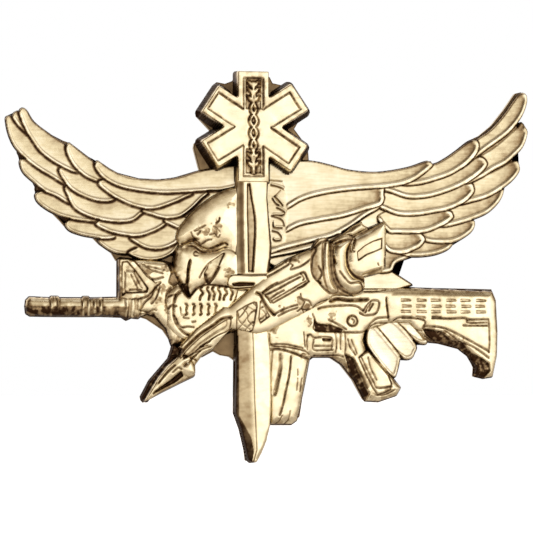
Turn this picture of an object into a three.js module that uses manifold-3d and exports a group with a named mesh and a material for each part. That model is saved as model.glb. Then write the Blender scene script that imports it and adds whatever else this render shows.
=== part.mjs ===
// Winged breast badge: struck gold-plated motifs soldered on a base plate, with three
// posts and three butterfly clutches behind it.
// Millimetres. The badge stands upright: +X to the viewer's right, +Z up, and its face looks
// along -Y. The origin is on the base plate's flat back, at the middle of the badge's outline.
import * as THREE from 'three';
import { mergeVertices } from 'three/addons/utils/BufferGeometryUtils.js';
import Module from 'manifold-3d';

const wasm = await Module();
wasm.setup();

// ---------------------------------------------------------------- driving dimensions

const SOLDER_GAP = 0.05; // between soldered pieces
const EDGE_BEVEL = 0.15; // broken edge of every struck piece
const PLATE_FRONT = 1.2; // base plate thickness

// Height of each motif's face above the base plate's back.
const TAIL_FRONT = 2.1;
const WING_FRONT = 1.9;
const WING_COVERTS_FRONT = 2.4;
const RIFLE_FRONT = 3.2;
const SKULL_FRONT = 3.7;
const DAGGER_FRONT = 4.0;
const STAR_FRONT = 4.3;
const LANCE_FRONT = 4.6;

// Six-armed star.
const STAR_CENTRE = [-2.27, 18.17];
const STAR_ARM_WIDTH = 4.26;
// Each arm's direction in degrees and its length from the centre.
const STAR_ARMS = [[90, 7.35], [33.5, 7.45], [-33, 7.1], [-90, 7.35], [-147.5, 6.95], [147, 7.05]];

// Posts and clutches. Depths run backwards from the base plate's back.
const POST_PLACES = { left: [-16, 6.4], right: [16, 6.4], lower: [2.2, -7.4] };
const POST_RADIUS = 0.55;
const POST_PAD_RADIUS = 1.5;
const POST_LENGTH = 7.8;
const CLOTH_THICKNESS = 2.3; // plate back to clutch front as worn
const EYELET_BORE_RADIUS = 0.7;
const EYELET_NECK_RADIUS = 1.35;
const EYELET_FLANGE_RADIUS = 2.2;
const EYELET_LIP_RADIUS = 1.85;
const DISC_RADIUS = 5;
const DISC_HOLE_RADIUS = 1.5;
const DISC_FACE_RADIUS = 2.4; // where the flat face starts, clear of the eyelet
const SHEET = 0.35; // clutch sheet metal
const DISC_FRONT = 0.35;
const BRIDGE_HALF_LENGTH = 2.6;
const BRIDGE_TOP = 3.45;
const BRIDGE_INNER_HALF_WIDTH = 2.0;
const BRIDGE_FOOT_HALF_WIDTH = 3.3;
const BRIDGE_HOLE_RADIUS = 0.9;
const WING_HALF_WIDTH = 1.8;
const WING_STRIP = 0.3;
const EAR_RADIUS = 2.3;

const GOLD = { color: 0xdcc07a, roughness: 0.28, metalness: 1 };
const SATIN_GOLD = { color: 0xd2b876, roughness: 0.45, metalness: 1 };
const BRASS = { color: 0xcfa955, roughness: 0.35, metalness: 1 };

// ---------------------------------------------------------------- outlines, [x, z] on the badge

const LEFT_WING = [
  // leading edge, tip to shoulder
  [-33, 19.7], [-32.8, 20.4], [-32.5, 20.6], [-31.3, 18.9], [-29.5, 17.5], [-27.1, 16.3],
  [-26.5, 16.1], [-25.5, 15.2], [-23.8, 14], [-23.3, 14], [-22.1, 13.3], [-20, 12.2],
  [-17.4, 11.5], [-14.7, 11.3], [-12.4, 11.65], [-10, 12.4], [-2.5, 13.6],
  // under the skull and dagger
  [-2.5, 3], [-8, 0.6],
  // trailing edge, feather tip by feather tip
  [-13.6, 0.6], [-20.1, 0.6], [-20.7, 1.6], [-22.3, 2.7], [-23.5, 3.9], [-26.9, 5.1],
  [-27.4, 5.7], [-30.3, 8.6], [-30.8, 9.9], [-30.7, 10.4], [-32.3, 12.7], [-32.7, 13.6],
  [-32.5, 14.4], [-33.9, 16.8], [-34.4, 18.4], [-34.3, 19.5],
];

const LEFT_COVERTS = [
  [-26.4, 15.6], [-24.1, 14], [-21.4, 12.5], [-17.4, 11], [-12.8, 11.2], [-8.2, 12.4],
  [-3.8, 13.3], [-3.8, 4.8], [-12.2, 2.2], [-16.1, 3.1], [-18.5, 2.5], [-20.5, 4.6], [-22.5, 5.4],
  [-24.1, 7.5], [-26.6, 10.1], [-27.2, 12.3],
];

const RIGHT_WING = [
  // leading edge, shoulder to tip
  [-1, 13.4], [5.4, 14], [10.8, 12.9], [13.6, 12.6], [15.9, 12.7], [18.4, 13.1], [20.8, 13.9],
  [22.1, 14.3], [22.4, 13.9], [24, 14.4], [26.4, 16.4], [27.5, 17.2], [28.8, 17.8],
  [30.5, 19.2], [32.2, 21.3], [33.8, 23.6], [34.6, 23.8], [35.2, 23.2],
  // trailing edge, feather tip by feather tip
  [35, 21.7], [34.2, 19.9], [34.8, 18.2], [34.8, 17.2], [34.1, 16.1], [33.2, 14.9],
  [33.7, 13.7], [33.6, 12.9], [31.6, 10.4], [31.4, 9.6], [30, 8.1], [27.6, 6.9],
  [27.5, 5.8], [25.9, 4.6], [24.1, 3.6], [24, 3], [23.2, 2.2], [21.4, 1.6], [19, 1.5],
  [17, 0.5], [16.5, -0.6], [18.7, -2.4], [16, -3.5],
  // under the lance
  [6, -3.5], [0, -2], [-1, 1],
];

const RIGHT_COVERTS = [
  [0.7, 13], [5.1, 13.6], [10.5, 12.6], [15.7, 12.5], [21.7, 13.8], [23.8, 14.2],
  [28.2, 16.5], [29.6, 14.6], [28.6, 11.3], [26.6, 8.3], [24.1, 5.7], [20.3, 4.2],
  [15.8, 6], [7.7, 6.4], [0.7, 2.4],
];

const TAIL = [
  [9.7, -7], [13.1, -6.4], [17.7, -6.3], [19.6, -8.4], [20.5, -10.1], [19.7, -10.5],
  [19.6, -12.1], [17.6, -12.5], [17.2, -14.5], [16.2, -14.1], [11.7, -11.9],
];

const RIFLE = [
  // muzzle and barrel, front sight
  [-31.9, -5.5], [-31.8, -4.6], [-31.3, -4.3], [-19.9, -4.4], [-19.7, 0.9], [-18.3, 0.9],
  [-15.5, 1.3], [-11.5, 1], [-11.1, -0.7],
  // behind the skull and lance, receiver top, stock
  [5.7, -3.8], [12.7, -2.8], [19.1, -2.7], [30.4, -2.9], [31.1, -7.7], [30.7, -12.3],
  [29.5, -14.8], [27.9, -14.6], [28, -13.4], [27.3, -11.8], [26, -10.7], [23.5, -10.2],
  [20.6, -10], [19.3, -8.8], [19, -7.2], [16.5, -7.1], [13.9, -8.2], [13.2, -9.5],
  // pistol grip
  [13.7, -10.9], [17.8, -15.9], [17.6, -16.8], [14.8, -17.9], [12.9, -17.7],
  [11.4, -15], [9.8, -13], [8.4, -12.1],
  // magazine
  [5.7, -12], [5, -15.4], [4.3, -19.9], [3.4, -20.8], [0.4, -20.8], [-0.2, -17.7],
  [-0.5, -10.1],
  // behind the blade and lance, handguard
  [-4.3, -8.6], [-9.2, -9.5], [-12.3, -10.5], [-12.8, -10.1], [-13.9, -8.5], [-16, -7.1],
  [-17.3, -6.7], [-18.6, -7.3], [-19.6, -6.8], [-31.3, -6.75], [-31.8, -6.4],
];

const SKULL = [
  [-2.4, 10.5], [-4.4, 10.3], [-6.5, 9.7], [-8.1, 8.9], [-9.9, 7.4], [-11.2, 5.8],
  [-12.3, 3.9], [-11.9, 2], [-12.3, 0.9], [-12.3, -0.7], [-13.1, -2.4], [-13.6, -4.7],
  [-13.4, -6.9], [-12.9, -8.3], [-12.1, -9], [-11.1, -9.5], [-7.2, -9], [-2.4, -6.1],
];

const DAGGER = [
  // grip
  [-4.5, 11.6], [-0.1, 11.6], [0, 6.1], [0.2, 1.6], [-0.3, -1.1], [-0.4, -3.7], [-0.1, -7.4],
  // blade, point at the bottom
  [0.3, -15.3], [0.2, -20.9], [-0.1, -22.6], [-0.8, -24.3], [-1.6, -25.8], [-2.9, -25.7],
  [-3.1, -24.2], [-3.7, -21.5], [-4.4, -19.4], [-4.4, -12.8], [-4.2, -10.9], [-4.3, -3.2],
  // guard
  [-5.4, -2.5], [-5.6, -1.5], [-5.1, -1.1], [-4.5, -1], [-4.7, 4.7],
];

const LANCE = [
  // spearhead, point at the lower left
  [-16.6, -17.9], [-15, -16], [-13.5, -13.9], [-12, -12.2], [-12.9, -11.6],
  // shaft
  [-11.6, -10.3], [-9.9, -8.5], [-6.1, -5.3], [-5.5, -5.5], [-1.9, -2.4],
  // body and collars
  [-0.3, -0.9], [2.4, 0.9], [5.5, 2.2], [6.4, 3.6], [7.5, 3.8], [8.1, 3.3], [9.9, 4.3],
  // head
  [11.3, 5.4], [12.1, 5.7], [13.3, 5], [15.5, 6], [15.6, 0], [14.8, -0.9],
  [12.7, -1.5], [12.8, -2.7], [12.4, -3.5], [11.3, -4.1], [8.8, -3.9],
  // back along the lower edge
  [7.7, -4.7], [3.8, -6.7], [-0.1, -8.7], [-1.8, -9.1], [-5.1, -8.4], [-7.3, -10.9],
  [-8.9, -12], [-9.9, -13.1], [-9.9, -14.5],
];

// Plate that shows between the skull, lance and blade.
const CENTRE_WEB = [
  [-12.7, -10.1], [-8.7, -12.1], [-7.2, -11.3], [-6.3, -11.8], [-5.1, -12], [-4.4, -12.5],
  [0, -6], [-12, -6],
];

// Plate that shows along the spearhead's left side.
const SPEAR_WEB = [
  [-16.7, -17.6], [-15.5, -15.2], [-13, -12.4], [-12.6, -11.1], [-11.6, -11.1], [-12.7, -14],
  [-16.2, -18],
];

// Plate that shows round and between the star's arms.
const STAR_WEB = [
  [0.3, 25.2], [-4.2, 25.5], [-4.7, 24.6], [-5.7, 24.2], [-6.8, 24.4], [-7.2, 24.1],
  [-9.5, 20.6], [-9.5, 19.9], [-7.7, 18], [-9.8, 16.2], [-9.9, 15.6], [-9.1, 12.6],
  [-4.7, 10], [0, 10], [5.6, 13.8], [5.5, 15.2], [5.4, 15.9], [3.6, 18.3], [4.7, 20.2],
  [2.6, 24], [0.7, 24.4],
];

// Star outline: the corners of each arm's end, then the notch before the next arm.
function starOutline() {
  const half = STAR_ARM_WIDTH / 2;
  const points = [];
  STAR_ARMS.forEach(([degrees, length], arm) => {
    const angle = THREE.MathUtils.degToRad(degrees);
    const along = [Math.cos(angle), Math.sin(angle)];
    for (const side of [half, -half]) {
      points.push([
        STAR_CENTRE[0] + along[0] * length - along[1] * side,
        STAR_CENTRE[1] + along[1] * length + along[0] * side,
      ]);
    }
    const nextDegrees = STAR_ARMS[(arm + 1) % STAR_ARMS.length][0];
    const between = THREE.MathUtils.degToRad((degrees - nextDegrees + 360) % 360) / 2;
    const notch = half / Math.sin(between);
    points.push([
      STAR_CENTRE[0] + Math.cos(angle - between) * notch,
      STAR_CENTRE[1] + Math.sin(angle - between) * notch,
    ]);
  });
  return points;
}

// ---------------------------------------------------------------- solids

function toManifold(geometry) {
  const bare = geometry.clone();
  bare.deleteAttribute('normal');
  bare.deleteAttribute('uv');
  const merged = mergeVertices(bare);
  return new wasm.Manifold(new wasm.Mesh({
    numProp: 3,
    vertProperties: new Float32Array(merged.attributes.position.array),
    triVerts: new Uint32Array(merged.index.array),
  }));
}

function toGeometry(solid) {
  const mesh = solid.getMesh();
  const geometry = new THREE.BufferGeometry();
  geometry.setAttribute('position', new THREE.BufferAttribute(mesh.vertProperties, 3));
  geometry.setIndex(new THREE.BufferAttribute(mesh.triVerts, 1));
  geometry.computeVertexNormals();
  return geometry;
}

function box(width, depth, height, x, y, z) {
  return toManifold(new THREE.BoxGeometry(width, depth, height).translate(x, y, z));
}

// A struck slab: the outline raised from back to front, with its front edge broken.
// grow widens the outline and lifts the front by the same amount.
function slab(outline, back, front, grow = 0) {
  const shape = new THREE.Shape(outline.map(([x, y]) => new THREE.Vector2(x, y)));
  const top = front + grow;
  const geometry = new THREE.ExtrudeGeometry(shape, {
    depth: top - back - EDGE_BEVEL,
    bevelThickness: EDGE_BEVEL,
    bevelSize: EDGE_BEVEL,
    bevelOffset: grow - EDGE_BEVEL,
    bevelSegments: 1,
  });
  geometry.translate(0, 0, back);
  const aboveBack = box(200, 200, 20, 0, 0, back + 10);
  return toManifold(geometry).intersect(aboveBack);
}

function unite(solids) {
  return solids.reduce((all, next) => all.add(next));
}

const part = new THREE.Group();

// The face group turns flat outlines (x, y, height) into the upright badge (x, -height, y).
const face = new THREE.Group();
face.rotation.x = Math.PI / 2;
part.add(face);

function addPiece(group, name, geometry, finish) {
  const mesh = new THREE.Mesh(geometry, new THREE.MeshStandardMaterial(finish));
  mesh.name = name;
  group.add(mesh);
  return mesh;
}

// ---------------------------------------------------------------- badge face

const STAR = starOutline();

// Motifs from the lowest layer to the highest. steps: [outline, front height], ...
const MOTIFS = [
  { name: 'tail_feathers', finish: SATIN_GOLD, steps: [[TAIL, TAIL_FRONT]] },
  {
    name: 'left_wing', finish: SATIN_GOLD,
    steps: [[LEFT_WING, WING_FRONT], [LEFT_COVERTS, WING_COVERTS_FRONT]],
  },
  {
    name: 'right_wing', finish: SATIN_GOLD,
    steps: [[RIGHT_WING, WING_FRONT], [RIGHT_COVERTS, WING_COVERTS_FRONT]],
  },
  { name: 'rifle', finish: GOLD, steps: [[RIFLE, RIFLE_FRONT]] },
  { name: 'skull', finish: GOLD, steps: [[SKULL, SKULL_FRONT]] },
  { name: 'dagger', finish: GOLD, steps: [[DAGGER, DAGGER_FRONT]] },
  { name: 'star', finish: GOLD, steps: [[STAR, STAR_FRONT]] },
  { name: 'lance', finish: GOLD, steps: [[LANCE, LANCE_FRONT]] },
];

// The plate follows the motifs' joint outline, with webs where it shows between them.
function basePlate() {
  const outlines = MOTIFS.map((motif) => motif.steps[0][0]);
  outlines.push(STAR_WEB, CENTRE_WEB, SPEAR_WEB);
  return unite(outlines.map((outline) => slab(outline, 0, PLATE_FRONT)));
}

// Each motif is built down to the plate and hollowed where a lower motif passes under it.
function motifSolid(index) {
  const back = PLATE_FRONT + SOLDER_GAP;
  const raise = ([outline, front]) => slab(outline, back, front);
  const clearance = ([outline, front]) => slab(outline, PLATE_FRONT, front, SOLDER_GAP);
  const own = unite(MOTIFS[index].steps.map(raise));
  return MOTIFS.slice(0, index).reduce(
    (solid, lower) => solid.subtract(unite(lower.steps.map(clearance))),
    own,
  );
}

addPiece(face, 'back_plate', toGeometry(basePlate()), SATIN_GOLD);
MOTIFS.forEach((motif, index) => {
  addPiece(face, motif.name, toGeometry(motifSolid(index)), motif.finish);
});

// ---------------------------------------------------------------- posts and clutches

function lathe(profile, segments) {
  const points = profile.map(([r, y]) => new THREE.Vector2(r, y));
  return new THREE.LatheGeometry(points, segments);
}

// Nail: soldered pad, shank with a grip groove, and a point.
function postGeometry() {
  return lathe([
    [0, SOLDER_GAP], [POST_PAD_RADIUS, SOLDER_GAP], [POST_PAD_RADIUS, 0.45],
    [POST_RADIUS, 0.65], [POST_RADIUS, 5.5], [0.4, 5.65], [0.4, 5.95], [POST_RADIUS, 6.1],
    [POST_RADIUS, 6.9], [0, POST_LENGTH],
  ], 16);
}

// Grommet that runs on the post and holds the disc between its flange and lip.
function eyeletGeometry() {
  return lathe([
    [EYELET_BORE_RADIUS, 0], [EYELET_FLANGE_RADIUS, 0], [EYELET_FLANGE_RADIUS, 0.3],
    [EYELET_NECK_RADIUS, 0.3], [EYELET_NECK_RADIUS, 0.78], [EYELET_LIP_RADIUS, 0.78],
    [EYELET_LIP_RADIUS, 1.05], [EYELET_BORE_RADIUS, 1.05], [EYELET_BORE_RADIUS, 0],
  ], 20);
}

// Clutch disc with a rolled rim.
function discGeometry() {
  const back = DISC_FRONT + SHEET;
  return lathe([
    [DISC_HOLE_RADIUS, DISC_FRONT], [DISC_FACE_RADIUS, DISC_FRONT],
    [DISC_RADIUS - 0.2, DISC_FRONT],
    [DISC_RADIUS, DISC_FRONT + 0.2], [DISC_RADIUS, back + 0.35], [DISC_RADIUS - 0.35, back + 0.35],
    [DISC_RADIUS - 0.35, back], [DISC_HOLE_RADIUS, back], [DISC_HOLE_RADIUS, DISC_FRONT],
  ], 36);
}

// Hat-section bridge over the jaws, welded to the disc by its two feet.
function bridgeGeometry() {
  const foot = DISC_FRONT + SHEET + SOLDER_GAP;
  const inner = BRIDGE_INNER_HALF_WIDTH;
  const outer = inner + SHEET;
  const half = [
    [inner, foot], [BRIDGE_FOOT_HALF_WIDTH, foot], [BRIDGE_FOOT_HALF_WIDTH, foot + SHEET],
    [outer, foot + SHEET], [outer, BRIDGE_TOP],
  ];
  const underside = [[inner, BRIDGE_TOP - SHEET], [-inner, BRIDGE_TOP - SHEET]];
  const mirrored = half.map(([z, y]) => [-z, y]).reverse();
  const outline = [...half, ...mirrored, ...underside.reverse()];
  const shape = new THREE.Shape(outline.map(([z, y]) => new THREE.Vector2(z, y)));
  const channel = new THREE.ExtrudeGeometry(shape, { depth: 2 * BRIDGE_HALF_LENGTH, bevelEnabled: false });
  channel.translate(0, 0, -BRIDGE_HALF_LENGTH).rotateY(Math.PI / 2);
  const hole = new THREE.CylinderGeometry(BRIDGE_HOLE_RADIUS, BRIDGE_HOLE_RADIUS, 2, 20);
  return toGeometry(toManifold(channel).subtract(toManifold(hole.translate(0, BRIDGE_TOP, 0))));
}

// Spring jaw: from its edge against the post, out under the bridge, and up into a round ear.
// The centre line runs in x and y; the strip is extruded across z.
const JAW_LINE = [[0.6, 1.9], [2.3, 2.35], [3.1, 2.75], [5.2, 5.75]];

function jawGeometry() {
  const half = WING_STRIP / 2;
  const upper = [];
  const lower = [];
  JAW_LINE.forEach(([x, y], i) => {
    const before = JAW_LINE[Math.max(i - 1, 0)];
    const after = JAW_LINE[Math.min(i + 1, JAW_LINE.length - 1)];
    const length = Math.hypot(after[0] - before[0], after[1] - before[1]);
    const normal = [-(after[1] - before[1]) / length, (after[0] - before[0]) / length];
    upper.push(new THREE.Vector2(x + normal[0] * half, y + normal[1] * half));
    lower.unshift(new THREE.Vector2(x - normal[0] * half, y - normal[1] * half));
  });
  const strip = new THREE.ExtrudeGeometry(new THREE.Shape([...lower, ...upper]), {
    depth: 2 * WING_HALF_WIDTH,
    bevelEnabled: false,
  }).translate(0, 0, -WING_HALF_WIDTH);
  const [bend, tip] = JAW_LINE.slice(-2);
  const earTilt = Math.atan2(tip[1] - bend[1], tip[0] - bend[0]);
  const ear = new THREE.CylinderGeometry(EAR_RADIUS, EAR_RADIUS, WING_STRIP, 24)
    .rotateZ(earTilt)
    .translate((tip[0] + bend[0]) / 2 + 0.5, (tip[1] + bend[1]) / 2 + 0.7, 0);
  return toGeometry(toManifold(strip).add(toManifold(ear)));
}

for (const [side, [x, z]] of Object.entries(POST_PLACES)) {
  const place = new THREE.Group();
  place.position.set(x, 0, z);
  part.add(place);
  addPiece(place, `post_${side}`, postGeometry(), BRASS);

  const clutch = new THREE.Group();
  clutch.position.y = CLOTH_THICKNESS;
  place.add(clutch);
  addPiece(clutch, `clutch_${side}_eyelet`, eyeletGeometry(), BRASS);
  addPiece(clutch, `clutch_${side}_disc`, discGeometry(), BRASS);
  addPiece(clutch, `clutch_${side}_bridge`, bridgeGeometry(), BRASS);
  addPiece(clutch, `clutch_${side}_jaw_a`, jawGeometry(), BRASS);
  const mirroredJaw = addPiece(clutch, `clutch_${side}_jaw_b`, jawGeometry(), BRASS);
  mirroredJaw.rotation.y = Math.PI;
}

export default part;
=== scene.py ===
"""Winged breast badge: struck gold relief on a base plate, held by posts and butterfly clutches.

The face pieces are fine height-field reliefs, drawn in millimetres on the badge: x to the
right, z up, h the height above the base plate's back. Distances to drawn outlines and
lines give every slope, rim, groove and wall.
"""

import math

import bpy
import numpy as np
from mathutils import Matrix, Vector


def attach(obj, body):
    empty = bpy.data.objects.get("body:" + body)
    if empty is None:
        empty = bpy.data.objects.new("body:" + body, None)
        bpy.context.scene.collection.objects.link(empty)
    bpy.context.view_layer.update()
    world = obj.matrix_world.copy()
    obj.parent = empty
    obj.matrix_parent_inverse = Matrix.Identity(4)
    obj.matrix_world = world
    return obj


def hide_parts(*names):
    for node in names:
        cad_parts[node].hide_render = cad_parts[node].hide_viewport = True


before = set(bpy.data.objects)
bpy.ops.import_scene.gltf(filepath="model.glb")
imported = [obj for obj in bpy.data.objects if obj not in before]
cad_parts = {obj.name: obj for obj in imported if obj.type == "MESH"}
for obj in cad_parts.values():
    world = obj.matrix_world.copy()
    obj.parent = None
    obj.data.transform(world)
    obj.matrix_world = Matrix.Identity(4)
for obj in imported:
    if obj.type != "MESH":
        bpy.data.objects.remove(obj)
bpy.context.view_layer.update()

MM = 0.001
PITCH = 0.08  # grid of the relief, mm
PLATE_FRONT = 1.2
PLATE_BACK = 0.0
SOLDER_GAP = 0.05
DRAFT = 0.15  # how far a motif's walls lean out at their foot
FAR = 9.0  # stands for "a long way off" in distance fields


# ------------------------------------------------------------------ curves and distances

def spline(points, closed=True, steps=6):
    """A smooth curve through the points, as an array of points."""
    p = np.array(points, float)
    if closed:
        before, after, after2 = np.roll(p, 1, 0), np.roll(p, -1, 0), np.roll(p, -2, 0)
    else:
        padded = np.vstack([2 * p[0] - p[1], p, 2 * p[-1] - p[-2]])
        before, after, after2 = padded[:-3], padded[2:-1], padded[3:]
        p = padded[1:-2]
    rows = []
    for t in np.arange(steps) / steps:
        rows.append(0.5 * (
            2 * p + (after - before) * t
            + (2 * before - 5 * p + 4 * after - after2) * t**2
            + (3 * p - before - 3 * after + after2) * t**3
        ))
    curve = np.stack(rows, 1).reshape(-1, 2)
    return curve if closed else np.vstack([curve, after[-1]])


def blurred(field, radius):
    """Gaussian blur; radius in mm."""
    reach = int(2.5 * radius / PITCH) + 1
    offsets = np.arange(-reach, reach + 1)
    weights = np.exp(-((offsets * PITCH / radius) ** 2) / 2)
    weights /= weights.sum()
    for axis in (0, 1):
        pad = [(reach, reach) if a == axis else (0, 0) for a in (0, 1)]
        wide = np.pad(field, pad, mode="edge")
        size = field.shape[axis]
        field = sum(
            w * np.take(wide, range(k, k + size), axis) for k, w in enumerate(weights)
        )
    return field


def step(distance, width):
    """0 outside, 1 inside, smooth over the width."""
    t = np.clip(distance / width + 0.5, 0, 1)
    return t * t * (3 - 2 * t)


def bump(distance, centre, width):
    return np.exp(-(((distance - centre) / width) ** 2))


class Relief:
    """A height field on the badge face with a silhouette and a map of painted shade, mottled at random."""

    def __init__(self, x_range, z_range, floor):
        self.i0 = (math.floor(x_range[0] / PITCH), math.floor(z_range[0] / PITCH))
        i1 = (math.ceil(x_range[1] / PITCH), math.ceil(z_range[1] / PITCH))
        self.xs = np.arange(self.i0[0], i1[0] + 1) * PITCH
        self.zs = np.arange(self.i0[1], i1[1] + 1) * PITCH
        self.x, self.z = np.meshgrid(self.xs, self.zs)
        self.h = np.full(self.x.shape, float(floor))
        self.inside = np.full(self.x.shape, -FAR)
        self.shade_and_mottle = np.zeros(self.x.shape)

    def _window(self, path, margin):
        lo, hi = path.min(0) - margin, path.max(0) + margin
        columns = slice(*np.searchsorted(self.xs, (lo[0], hi[0])))
        rows = slice(*np.searchsorted(self.zs, (lo[1], hi[1])))
        return rows, columns

    def _nearest(self, path, closed, window):
        """Distance to the path in a window, and whether each node is enclosed by it."""
        x, z = self.x[window], self.z[window]
        nearest = np.full(x.shape, FAR**2)
        odd = np.zeros(x.shape, bool)
        ends = np.roll(path, -1, 0) if closed else path[1:]
        for (ax, az), (bx, bz) in zip(path, ends):
            dx, dz = bx - ax, bz - az
            length2 = dx * dx + dz * dz
            if length2 == 0:
                continue
            t = np.clip(((x - ax) * dx + (z - az) * dz) / length2, 0, 1)
            nearest = np.minimum(nearest, (x - ax - t * dx) ** 2 + (z - az - t * dz) ** 2)
            if dz:
                odd ^= ((az > z) != (bz > z)) & (x < dx * (z - az) / dz + ax)
        return np.sqrt(nearest), odd

    def signed(self, outline, margin=2.0):
        """Signed distance to a closed outline, positive inside."""
        path = np.array(outline, float)
        window = self._window(path, margin)
        out = np.full(self.x.shape, -FAR)
        distance, enclosed = self._nearest(path, True, window)
        out[window] = np.where(enclosed, distance, -distance)
        return out

    def off(self, line, margin=1.5, closed=False):
        """Distance from an open line."""
        path = np.array(line, float)
        window = self._window(path, margin)
        out = np.full(self.x.shape, FAR)
        out[window] = self._nearest(path, closed, window)[0]
        return out

    def lay(self, distance, height, soft=0.1, grow=True):
        """Lays a piece of metal over what is there, its top at height."""
        w = step(distance, soft)
        self.h = self.h * (1 - w) + height * w
        # metal laid on top starts free of painted shade
        self.shade_and_mottle *= 1 - w
        if grow:
            self.inside = np.maximum(self.inside, distance)

    def mark(self, shade):
        # paints shade: each node keeps the darker of its old and new shade
        self.shade_and_mottle = np.maximum(self.shade_and_mottle, shade)

    def groove(self, line, depth=0.16, width=0.12, shade_and_mottle=0.9, closed=False):
        distance = self.off(line, closed=closed)
        self.h -= 0.8 * depth * bump(distance, 0, 0.85 * width)
        # the groove is painted dark along its line, as shade in the crease
        self.mark(shade_and_mottle * bump(distance, 0, 0.85 * width))

    def ridge(self, line, height=0.15, width=0.16, closed=False):
        self.h += height * bump(self.off(line, closed=closed), 0, width)

    def shade_and_wear_patch(self, x, z, size, shade=0.55):
        """A ragged brown patch, faintly pitted: painted shade in part, wear in part."""
        reach = np.hypot(self.x - x, self.z - z) / size
        ragged = self.noise(0.13)
        self.mark(shade * step(0.9 - reach + 0.5 * ragged, 0.6))
        self.h -= 0.03 * ragged * step(1.1 - reach, 0.5)

    def sink(self, distance, depth, soft=0.12, shade_and_mottle=0.0):
        w = step(distance, soft)
        self.h -= depth * w
        # the sunk part is painted with shade by the given amount
        self.mark(shade_and_mottle * w)

    def dome(self, outline, low, high, reach, soft=0.12, grow=True):
        """Lays a piece whose face swells from its edge."""
        distance = self.signed(outline)
        self.lay(distance, low + (high - low) * (1 - np.exp(-np.clip(distance, 0, FAR) / reach)), soft, grow)
        return distance

    def tilt(self, region, line, slope):
        """Inside the region the face falls away from the line."""
        self.h -= slope * self.off(line, margin=6) * (region > 0)

    def round_rim(self, radius, drop):
        """Rounds the edge of the silhouette over, down by drop."""
        t = np.clip(1 - self.inside / radius, 0, 1)
        self.h -= drop * (1 - np.sqrt(np.clip(1 - t**2, 0, 1)))

    def settle(self, waves=0.016, uneven=1.0):
        """Painted shade darkens where the surface lies low and near the silhouette's edge, spreading about in ragged
        blotches with random mottling; hand polishing leaves waves.
        """
        inside = self.inside > -PITCH
        low = np.where(inside, self.h, blurred(np.where(inside, self.h, self.h[inside].mean()), 0.4))
        # painted shade in recesses and broad hollows, and along the silhouette's edge where the rim rounds over
        recess = np.clip((blurred(low, 0.16) - low - 0.02) / 0.08, 0, 1)
        wide = np.clip((blurred(low, 0.55) - low - 0.06) / 0.35, 0, 1)
        edge = 0.3 * np.exp(-np.clip(self.inside, 0, FAR) / 0.18)
        brown = np.clip(np.maximum(self.shade_and_mottle, 0.9 * recess) + 0.4 * wide + edge, 0, 1)
        fine, ragged, broad = (self.noise(size) for size in (0.07, 0.16, 0.4))
        # the painted shade spreads out in ragged blotches, varied by random mottling
        spread_shade = 1.1 * blurred(brown, 0.3) * step(0.7 * ragged + 0.5 * broad - 0.1, 1.2)
        brown *= 1 - 0.12 * uneven + uneven * (0.12 * ragged + 0.08 * fine)
        self.shade_and_mottle = np.clip(np.maximum(brown, uneven * spread_shade), 0, 1)
        self.h = blurred(self.h, 0.05) + waves * blurred(broad, 0.15)

    def noise(self, size):
        """Random blotches about size mm across, with a spread of one."""
        field = blurred(np.random.default_rng(int(100 * size)).standard_normal(self.h.shape), size)
        return field / field.std()

    def mesh(self, name, back, draft, every=1):
        """A closed mesh: relief in front, leaning walls, flat back."""
        pick = (slice(None, None, every), slice(None, None, every))
        x, z, h = self.x[pick].copy(), self.z[pick].copy(), self.h[pick].copy()
        inside, shade_and_mottle = self.inside[pick], self.shade_and_mottle[pick]
        pitch = PITCH * every
        node = inside > -0.45 * pitch
        cell = node[:-1, :-1] & node[1:, :-1] & node[:-1, 1:] & node[1:, 1:]
        while True:  # no two cells may touch at a corner only
            a, b, c, d = cell[:-1, :-1], cell[1:, 1:], cell[:-1, 1:], cell[1:, :-1]
            fall, rise = a & b & ~c & ~d, c & d & ~a & ~b
            if not (fall.any() or rise.any()):
                break
            cell[:-1, 1:] |= fall
            cell[:-1, :-1] |= rise
        used = np.zeros(node.shape, bool)
        for rows in (slice(None, -1), slice(1, None)):
            for columns in (slice(None, -1), slice(1, None)):
                used[rows, columns] |= cell
        index = np.full(node.shape, -1)
        index[used] = np.arange(used.sum())
        quads = np.stack([
            index[:-1, :-1][cell], index[:-1, 1:][cell], index[1:, 1:][cell], index[1:, :-1][cell],
        ], 1)

        # the rim's nodes move on to the silhouette itself
        edges = np.concatenate([quads[:, [k, (k + 1) % 4]] for k in range(4)])
        keys = {(a, b) for a, b in edges.tolist()}
        rim = [(a, b) for a, b in keys if (b, a) not in keys]
        follow = dict(rim)
        slope_z, slope_x = np.gradient(inside, pitch)
        size = np.hypot(slope_x, slope_z) + 1e-9
        out_x, out_z = -(slope_x / size)[used], -(slope_z / size)[used]
        px, pz, ph, d = x[used], z[used], h[used], inside[used]
        rim_nodes = np.array([a for a, _ in rim])
        reach = np.clip(d[rim_nodes], -pitch, pitch)
        px[rim_nodes] += out_x[rim_nodes] * reach
        pz[rim_nodes] += out_z[rim_nodes] * reach

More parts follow.
